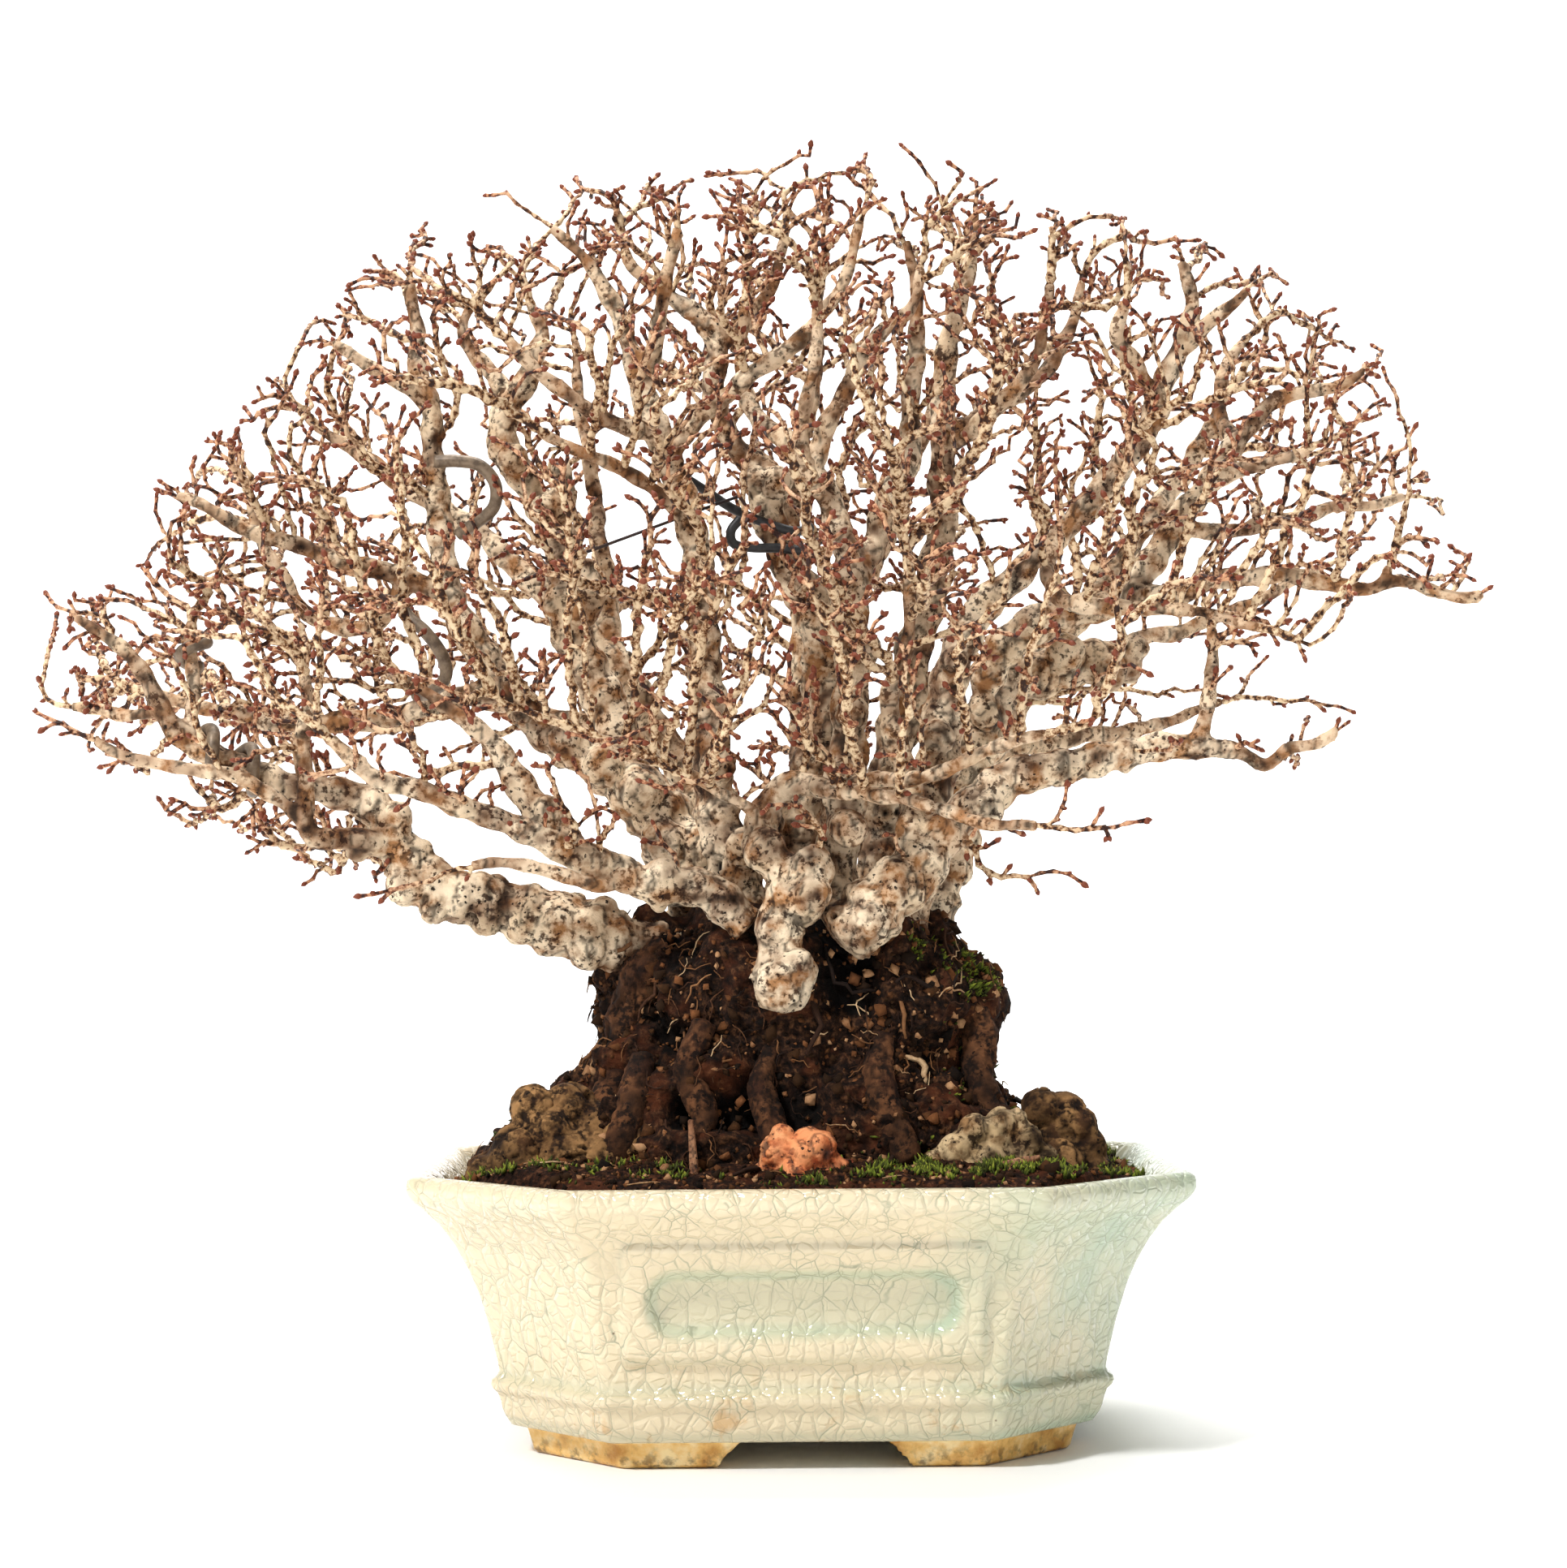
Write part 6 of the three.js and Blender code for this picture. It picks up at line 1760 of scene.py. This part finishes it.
    def chains(self, radius: Array) -> list[Array]:
        """Runs of nodes, each going on into its thickest shoot until a tip.

        Args:
            radius: radius of every node.

        Returns:
            Node indexes of each run, from its foot.
        """
        grown = self.parents >= 0
        main = np.full(len(self.points), -1)
        order = np.argsort(radius, kind="stable")
        order = order[grown[order]]
        main[self.parents[order]] = order
        goes_on = grown & (main[self.parents] == np.arange(len(main))) & grown[self.parents]
        runs = []
        following = main.tolist()
        for head in np.flatnonzero(grown & ~goes_on).tolist():
            run = [int(self.parents[head]), head]
            while following[run[-1]] >= 0:
                run.append(following[run[-1]])
            runs.append(np.array(run))
        return runs

    def build(self) -> list[bpy.types.Object]:
        """One piece of twigs and buds for each trunk.

        Returns:
            The pieces.
        """
        self.plant()
        self.grow(self.branches, self.seed + 5)
        self.grow(self.fine, self.seed + 6)
        self.spurs()
        radius, steps = self.thickness()
        rng = np.random.default_rng(self.seed + 2)
        fixed = self.parents < 0
        self.points = self.points + np.where(
            fixed[:, None], 0, rng.normal(0, 0.38, self.points.shape))
        self.points = np.clip(self.points, [-228, -106, 128.0], [216, 114, 398])
        runs = self.chains(radius)
        log.info("crown: %d nodes, %d shoots", len(self.points), len(runs))
        by_owner: dict[int, list[Array]] = {}
        for run in runs:
            by_owner.setdefault(int(self.owners[run[-1]]), []).append(run)
        return [self.twigs(self.trunks[k], by_owner[k], radius, steps, rng)
                for k in sorted(by_owner)]

    def twigs(self, trunk: Trunk, runs: list[Array], radius: Array, steps: Array,
              rng: np.random.Generator) -> bpy.types.Object:
        """Bars along the runs, swollen at each node, and a bud at tips and some nodes.

        Args:
            trunk: the trunk that carries them.
            runs: chains of node indexes from foot to tip.
            radius: radius of every node.
            steps: steps from every node to its farthest tip.
            rng: random numbers.

        Returns:
            The piece.
        """
        shells, buds, ages = [], [], []
        for run in runs:
            nodes = self.points[run]
            path = np.repeat(nodes, 2, axis=0)[:-1]
            path[1::2] = 0.5 * (nodes[:-1] + nodes[1:])
            size = np.repeat(radius[run], 2)[:-1]
            size[0] = size[1] = size[2]
            size = size * rng.uniform(0.9, 1.1, len(size))
            size[2::2] *= 1.28
            size[1::2] *= 0.92
            sides = 5 if size.max() < 1.5 else 8
            shells.append(bar(path, size, sides))
            old = np.repeat(steps[run], 2)[:-1]
            ages.append(np.repeat(np.r_[old[0], old, old[-1]], sides))
            ahead = unit(nodes[1:] - nodes[:-1])
            buds.append(np.r_[nodes[-1], ahead[-1], 0.92])
            young = np.flatnonzero((radius[run[1:]] < 1.0) & (rng.random(len(run) - 1) < 0.3)) + 1
            for k in young.tolist():
                away = np.cross(ahead[k - 1], rng.normal(size=3))
                away /= np.linalg.norm(away)
                aim = 0.7 * ahead[k - 1] + away
                place = nodes[k] + away * radius[run[k]] * 0.6
                buds.append(np.r_[place, aim / np.linalg.norm(aim), 0.72])
        wood = join(shells)
        scales = self.buds(np.array(buds), rng)
        marks = {"bud": np.r_[np.zeros(len(wood[0])), np.ones(len(scales[0]))],
                 "age": np.r_[np.concatenate(ages) / 10.0, np.zeros(len(scales[0]))]}
        return make_piece(f"{trunk.name}_twigs", join([wood, scales]), (TWIG,),
                          (trunk.name,), marks)

    def buds(self, table: Array, rng: np.random.Generator) -> Shell:
        """Egg-shaped buds: rings of radius w_k at h_k along each bud's direction.

        Args:
            table: rows of place, direction and size.
            rng: random numbers.

        Returns:
            Points and quads of all the buds.
        """
        place, aim, size = table[:, :3], table[:, 3:6], table[:, 6] * rng.uniform(
            0.8, 1.25, len(table))
        side = unit(np.cross(aim, rng.normal(size=aim.shape)))
        other = np.cross(aim, side)
        turn = np.arange(5) * 2 * np.pi / 5
        rings = []
        for wide, high in ((0.0, -0.5), (0.62, -0.1), (0.95, 0.7), (0.7, 1.5), (0.0, 2.3)):
            around = np.cos(turn)[:, None] * side[:, None] + np.sin(turn)[:, None] * other[:, None]
            rings.append(place[:, None] + size[:, None, None] * (
                wide * around + high * aim[:, None]))
        points = np.stack(rings, axis=1).reshape(-1, 3)
        faces = grid_faces(5, 5)[None] + 25 * np.arange(len(table))[:, None, None]
        return points, faces.reshape(-1, 4)


# ---------------------------------------------------------------- wires and small things


@dataclass
class Wires:
    """Training wire, guy wires and hooks, as round drawn wire on smooth routes."""

    # Node, diameter, route.
    routes: tuple[tuple[str, float, tuple[tuple[float, float, float], ...]], ...] = (
        ("guy_wire", 1.0, ((-86, 24, 275), (-82.5, 19, 272.5), (-75, 16.5, 270), (-67, 14, 272),
                           (-55.5, 6, 275), (-42, 3, 279.5), (-28, 2, 284.5), (-17, 3, 288.5))),
        ("hook_wire_upper", 3.0, ((-36, 4, 295.5), (-28, 5, 290.5), (-19, 5, 284.5), (-9, 4, 280),
                                  (0, 5, 277.5), (5, 11, 279.5))),
        ("hook_wire_lower", 3.0, ((-17, 0, 281), (-20, 0, 277), (-19, 0.5, 273),
                                  (-13, 2, 272), (-5, 3, 272), (4, 4, 271))),
        ("shaping_wire_left", 4.0, ((-122.5, -4, 256.5), (-120, -7, 250.5), (-114, -9, 245),
                                    (-109, -9, 238), (-108, -7, 231.5), (-113, -2, 227),
                                    (-118.5, 3, 226.5))),
        ("shaping_wire_upper_left", 4.0, (
            (-111.5, -4, 298.5), (-104.5, -5, 298.5), (-97.5, -5, 297), (-93, -4, 291.5),
            (-93.5, -3, 284.5), (-99, -1, 280), (-105, 2, 276.5))),
        ("anchor_wire", 1.2, ((-26, -70, 81.2), (-18, -72, 81.2), (-8, -72, 80.8),
                              (2, -71, 80.8))),
    )
    # Node, diameter, start, end, radius of the coil, turns, where the first turn starts.
    coils: tuple[tuple[str, float, tuple, tuple, float, float, float], ...] = (
        ("shaping_wire_low_left", 4.0, (-161, -27.5, 200.5), (-179.5, -31.5, 209.5), 5.8, 1.6, 3.4),
        ("shaping_wire_far_left", 4.0, (-182.5, -22, 234), (-183, -20.5, 244), 4.0, 1.2, 1.2),
    )

    def coil(self, start: Array, end: Array, radius: float, turns: float, first: float) -> Array:
        """Helix: point(k) = start + k along + radius (cos a u + sin a v), a from 0 in turns."""
        along = unit(end - start)
        u = unit(np.cross([0.0, 1.0, 0.0], along))
        v = np.cross(along, u)
        k = np.linspace(0, 1, 40)[:, None]
        a = first + k * turns * 2 * np.pi
        return start + (end - start) * k + radius * (np.cos(a) * u + np.sin(a) * v)

    def build(self) -> list[bpy.types.Object]:
        """Every wire as a closed round bar.

        Returns:
            The pieces.
        """
        made = []
        paths = [(name, wide, smooth_route([(*p, 1.0) for p in route], 0.8)[:, :3])
                 for name, wide, route in self.routes]
        paths += [(name, wide, self.coil(np.array(a, float), np.array(b, float), r, t, f))
                  for name, wide, a, b, r, t, f in self.coils]
        for name, wide, path in paths:
            finish, slot = ((SLEEVE, Slot.SLEEVE) if name.startswith("hook")
                            else (ALUMINIUM, Slot.ALUMINIUM) if name.startswith("shaping")
                            else (TIE_WIRE, Slot.TIE))
            shell = bar(path, np.full(len(path), wide / 2), 16)
            made.append(make_piece(f"{name}_drawn", shell, (finish,), (name,)))
        return made


@dataclass
class SmallThings:
    """Orange root stub, upright stick and wood chip; drain meshes keep their CAD shape."""

    # Balls that melt into the broken orange root, and stations that set its relief.
    stub: tuple[Station, ...] = (
        (0, -60, 87, 7), (6, -61, 90, 6), (-7, -60, 89, 6), (10, -60, 85, 6),
        (-3, -63, 82, 6), (2, -60, 93, 4), (-11, -60, 84, 4), (14, -60, 87, 3),
        (-6, -60, 94, 3), (17, -61, 82, 3.5))
    stub_core: tuple[Station, ...] = ((-2, -60, 88, 7), (4, -61, 92, 6), (8, -60, 86, 6))
    # Node, route, spacing, points round it, direction, seed and roughness of each bar.
    bars: tuple[tuple[str, Route, float, int, tuple, int, float], ...] = (
        ("upright_stick", ((-31, -66, 76, 1.2), (-31, -65, 85, 1.25), (-31.5, -62, 93, 1.1),
                           (-32, -60, 99, 0.9)), 1.0, 12, (0.0, 0, 1), 930, 0.8),
        ("wood_chip", ((52, -68, 84, 1.0), (57, -67, 85.2, 1.9), (63, -65.5, 86.6, 1.8),
                       (68, -64, 88, 0.7)), 0.8, 10, (1.0, 0, 0), 960, 1.2))

    def build(self) -> list[bpy.types.Object]:
        """Dead wood melted from balls and bars, and finishes for the drain meshes.

        Returns:
            The pieces.
        """
        woods = [("orange_root", join([ball(one, 9, 12) for one in self.stub]), 0.6,
                  np.array(self.stub_core, float), (0.0, 0, 1), 900, 2.0, ORANGE_WOOD)]
        for name, route, spacing, sides, along, seed, rough in self.bars:
            line = smooth_route(route, spacing)
            woods.append((name, bar(line[:, :3], line[:, 3], sides), 0.35, line, along, seed,
                          rough, STICK_WOOD))
        made = []
        for name, shell, voxel, stations, along, seed, rough, finish in woods:
            skin = melt(shell, voxel)
            moved, marks = Skin(seed, rough).roughen(
                skin, stations, np.tile(along, (len(stations), 1)))
            made.append(make_piece(f"{name}_skin", (moved, skin[1]), (finish,),
                                   (name,), marks))
        for name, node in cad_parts.items():
            if name.startswith(("drain_mesh", "mesh_clip")):
                finish = MESH_PLASTIC if name.startswith("drain") else ALUMINIUM
                for slot in node.material_slots:
                    slot.material = finish.material()
        return made


@dataclass
class Studio:
    """White floor and surroundings, soft lights and the camera."""

    position: tuple[float, float, float] = VIEW_FROM
    ahead: tuple[float, float, float] = (-3.8, 27.7, 199.3)
    roll_degrees: float = -0.33
    lens: float = 64.54

    def floor(self) -> None:
        """Pale sweep: a floor that curves up into a wall well behind the pot."""
        run = np.array([(y, 0.0) for y in np.linspace(-4.0, 2.2, 24)])
        turn = np.linspace(0, np.pi / 2, 16)[1:]
        curve = np.stack([2.2 + 1.2 * np.sin(turn), 1.2 - 1.2 * np.cos(turn)], axis=1)
        wall = np.array([(3.4, z) for z in np.linspace(1.4, 5.0, 8)])
        line = np.vstack([run, curve, wall])
        x = np.linspace(-5, 5, 9)
        grid = np.stack([np.broadcast_to(x, (len(line), len(x))),
                         np.broadcast_to(line[:, :1], (len(line), len(x))),
                         np.broadcast_to(line[:, 1:], (len(line), len(x)))], axis=-1)
        mesh = plain_mesh("floor", grid.reshape(-1, 3), grid_faces(len(line), len(x), False))
        mesh.polygons.foreach_set("use_smooth", np.ones(len(mesh.polygons), bool))
        mesh.materials.append(PAPER.material())
        link_object("floor", mesh)

    def light(self, name: str, place: tuple[float, float, float], size: float, watts: float,
              target: tuple[float, float, float] = (0.0, 0.0, 0.2)) -> None:
        """A square soft light that faces a target.

        Args:
            name: name of the light.
            place: where it is, in metres.
            size: length of its side, in metres.
            watts: its power.
            target: what it faces, by default the tree.
        """
        data = bpy.data.lights.new(name, "AREA")
        data.size = size
        data.energy = watts
        lamp = link_object(name, data)
        lamp.location = place
        lamp.rotation_euler = (Vector(target) - Vector(place)).to_track_quat(
            "-Z", "Y").to_euler()

    def camera(self) -> None:
        """Camera aimed along its line of sight and rolled a little."""
        data = bpy.data.cameras.new("camera")
        data.lens = self.lens
        data.sensor_width = SENSOR_MM
        data.clip_start = 0.01
        eye = link_object("camera", data)
        place, target = (Vector(to_frame(np.array(p))) for p in (self.position, self.ahead))
        aim = (target - place).to_track_quat("-Z", "Y").to_matrix()
        roll = Matrix.Rotation(np.radians(self.roll_degrees), 3, "Z")
        eye.matrix_world = Matrix.Translation(place) @ (aim @ roll).to_4x4()
        bpy.context.scene.camera = eye

    def build(self) -> None:
        """Floor, world, lights and camera, shown without a film curve."""
        self.floor()
        world = bpy.data.worlds.new("studio")
        world.use_nodes = True
        world.node_tree.nodes["Background"].inputs["Color"].default_value = linear("#ffffff")
        world.node_tree.nodes["Background"].inputs["Strength"].default_value = 0.27
        bpy.context.scene.world = world
        bpy.context.scene.view_settings.view_transform = "Standard"
        self.light("key", (-1.3, -1.5, 2.0), 0.32, 67)
        self.light("fill", (1.6, -1.6, 1.2), 1.4, 2)
        self.light("sweep_wash", (0.0, 0.9, 3.2), 2.0, 170, (0.0, 2.4, 0.4))
        self.camera()


GLAZE = GlazeFinish("crackled_cream_glaze_fired", 0.14, specular=0.6)
FOOT_CLAY = FootFinish("ochre_stoneware_fired", 0.4)
BARK = BarkFinish("old_bark_living", 0.86, specular=0.25)
KNOB_BARK = BarkFinish("old_root_bark_weathered", 0.9, specular=0.2, pale="#a0784c", tan="#573a22",
                       dark="#140a06", grey="#5b4430", young="#573a22", valley_shade="#241409",
                       fleck=(0.46, 0.58))
STUMP_BARK = BarkFinish("stump_bark_weathered", 0.9, specular=0.2, pale="#d9bd92", tan="#94704a",
                        dark="#1f110a", grey="#9c8a68", young="#94704a", valley_shade="#4f3820",
                        fleck=(0.43, 0.53))
OLD_ROOT = BarkFinish("buried_root_bark_damp", 0.92, specular=0.2, pale="#6b452b", tan="#3a2114",
                      dark="#0f0704", grey="#5b4636", young="#3a2114", valley_shade="#1d1009",
                      fleck=(0.46, 0.58))
TWIG = TwigFinish("year_old_twigs_living", 0.6, specular=0.3)
ROOT_MASS = EarthFinish("root_fibre_and_peat_matted", 0.95, specular=0.15, ground="#0c0604",
                        middle="#2b1a11", crumb="#5e3f29")
EARTH = EarthFinish("potting_earth_sieved", 0.95, specular=0.15, ground="#140a06",
                    middle="#321c11", crumb="#64402a", clouds=((1.8, 6), (12, 3)))
CRUMBS = LitterFinish("earth_crumbs_sieved", 0.92, specular=0.15, tones=(
    (0.0, "#0d0704"), (1.0, "#b58a63"), (0.45, "#34200f"), (0.8, "#714628")))
FIBRES = LitterFinish("rootlets_dried", 0.85, specular=0.2, tones=(
    (0.0, "#150b06"), (1.0, "#cbab83"), (0.55, "#3d2415"), (0.85, "#8a5f3b")))
MOSS_LEAF = LitterFinish("moss_living", 0.8, specular=0.2, tones=(
    (0.0, "#17150a"), (1.0, "#9a9c3a"), (0.5, "#3a3f12"), (0.78, "#63701e")))
ORANGE_WOOD = BarkFinish("broken_root_wood_dried", 0.8, pale="#f7ac74", tan="#c9662f",
                         dark="#3c180a", grey="#e0a070", young="#c9662f", valley_shade="#8f4420")
STICK_WOOD = BarkFinish("dead_twig_weathered", 0.85, pale="#b98a63", tan="#7f4e31",
                        dark="#3a2013", grey="#80624e", young="#7f4e31",
                        clouds=((1.2, 4), (4.0, 5), (6.0, 2), (15.0, 2)))
ALUMINIUM = PlainFinish("aluminium_wire_drawn_anodised", 0.45, 0.25, tone="#84725d",
                        worn="#5b4c3d")
TIE_WIRE = PlainFinish("iron_tie_wire_drawn_rusted", 0.5, 0.6, tone="#2b2224", worn="#40312a")
SLEEVE = PlainFinish("black_rubber_sleeve_extruded", 0.45, tone="#1d1e21", worn="#333435")
MESH_PLASTIC = PlainFinish("black_polyethylene_mesh_moulded", 0.5, tone="#1c1d1c",
                           worn="#2f302d")
PAPER = PlainFinish("matt_paper_sweep_rolled", 0.9, specular=0.1, tone="#ffffff",
                    worn="#fdfdfc", clouds=((400.0, 4),), bump_mm=0.0)


def main() -> None:
    logging.basicConfig(level=logging.INFO, format="%(message)s")
    Studio().build()
    pot = Pot()
    pot.build()
    soil = Soil(pot)
    soil.build()
    mound = RootMound()
    mound.build()
    Knobs().build()
    BuriedRoots().build()
    scatter = Scatter(soil, mound)
    scatter.grains("earth_crumbs", 9600, (0.5, 1.4), 0.35, CRUMBS, 61)
    scatter.grains("peat_clods", 900, (1.4, 3.2), 0.7, CRUMBS, 62)
    scatter.threads("rootlets_fine", 720, (4, 12), (0.13, 0.3), 0.75, FIBRES, 63)
    scatter.threads("rootlets_coarse", 44, (10, 26), (0.4, 1.0), 0.95, FIBRES, 64)
    Moss(scatter).build()
    trunks = [Trunk(name, 100 + 7 * k) for k, name in enumerate(TRUNKS)]
    for trunk in trunks:
        trunk.build()
    Crown(trunks).build()
    Wires().build()
    SmallThings().build()
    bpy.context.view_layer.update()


if __name__ == "__main__":
    main()
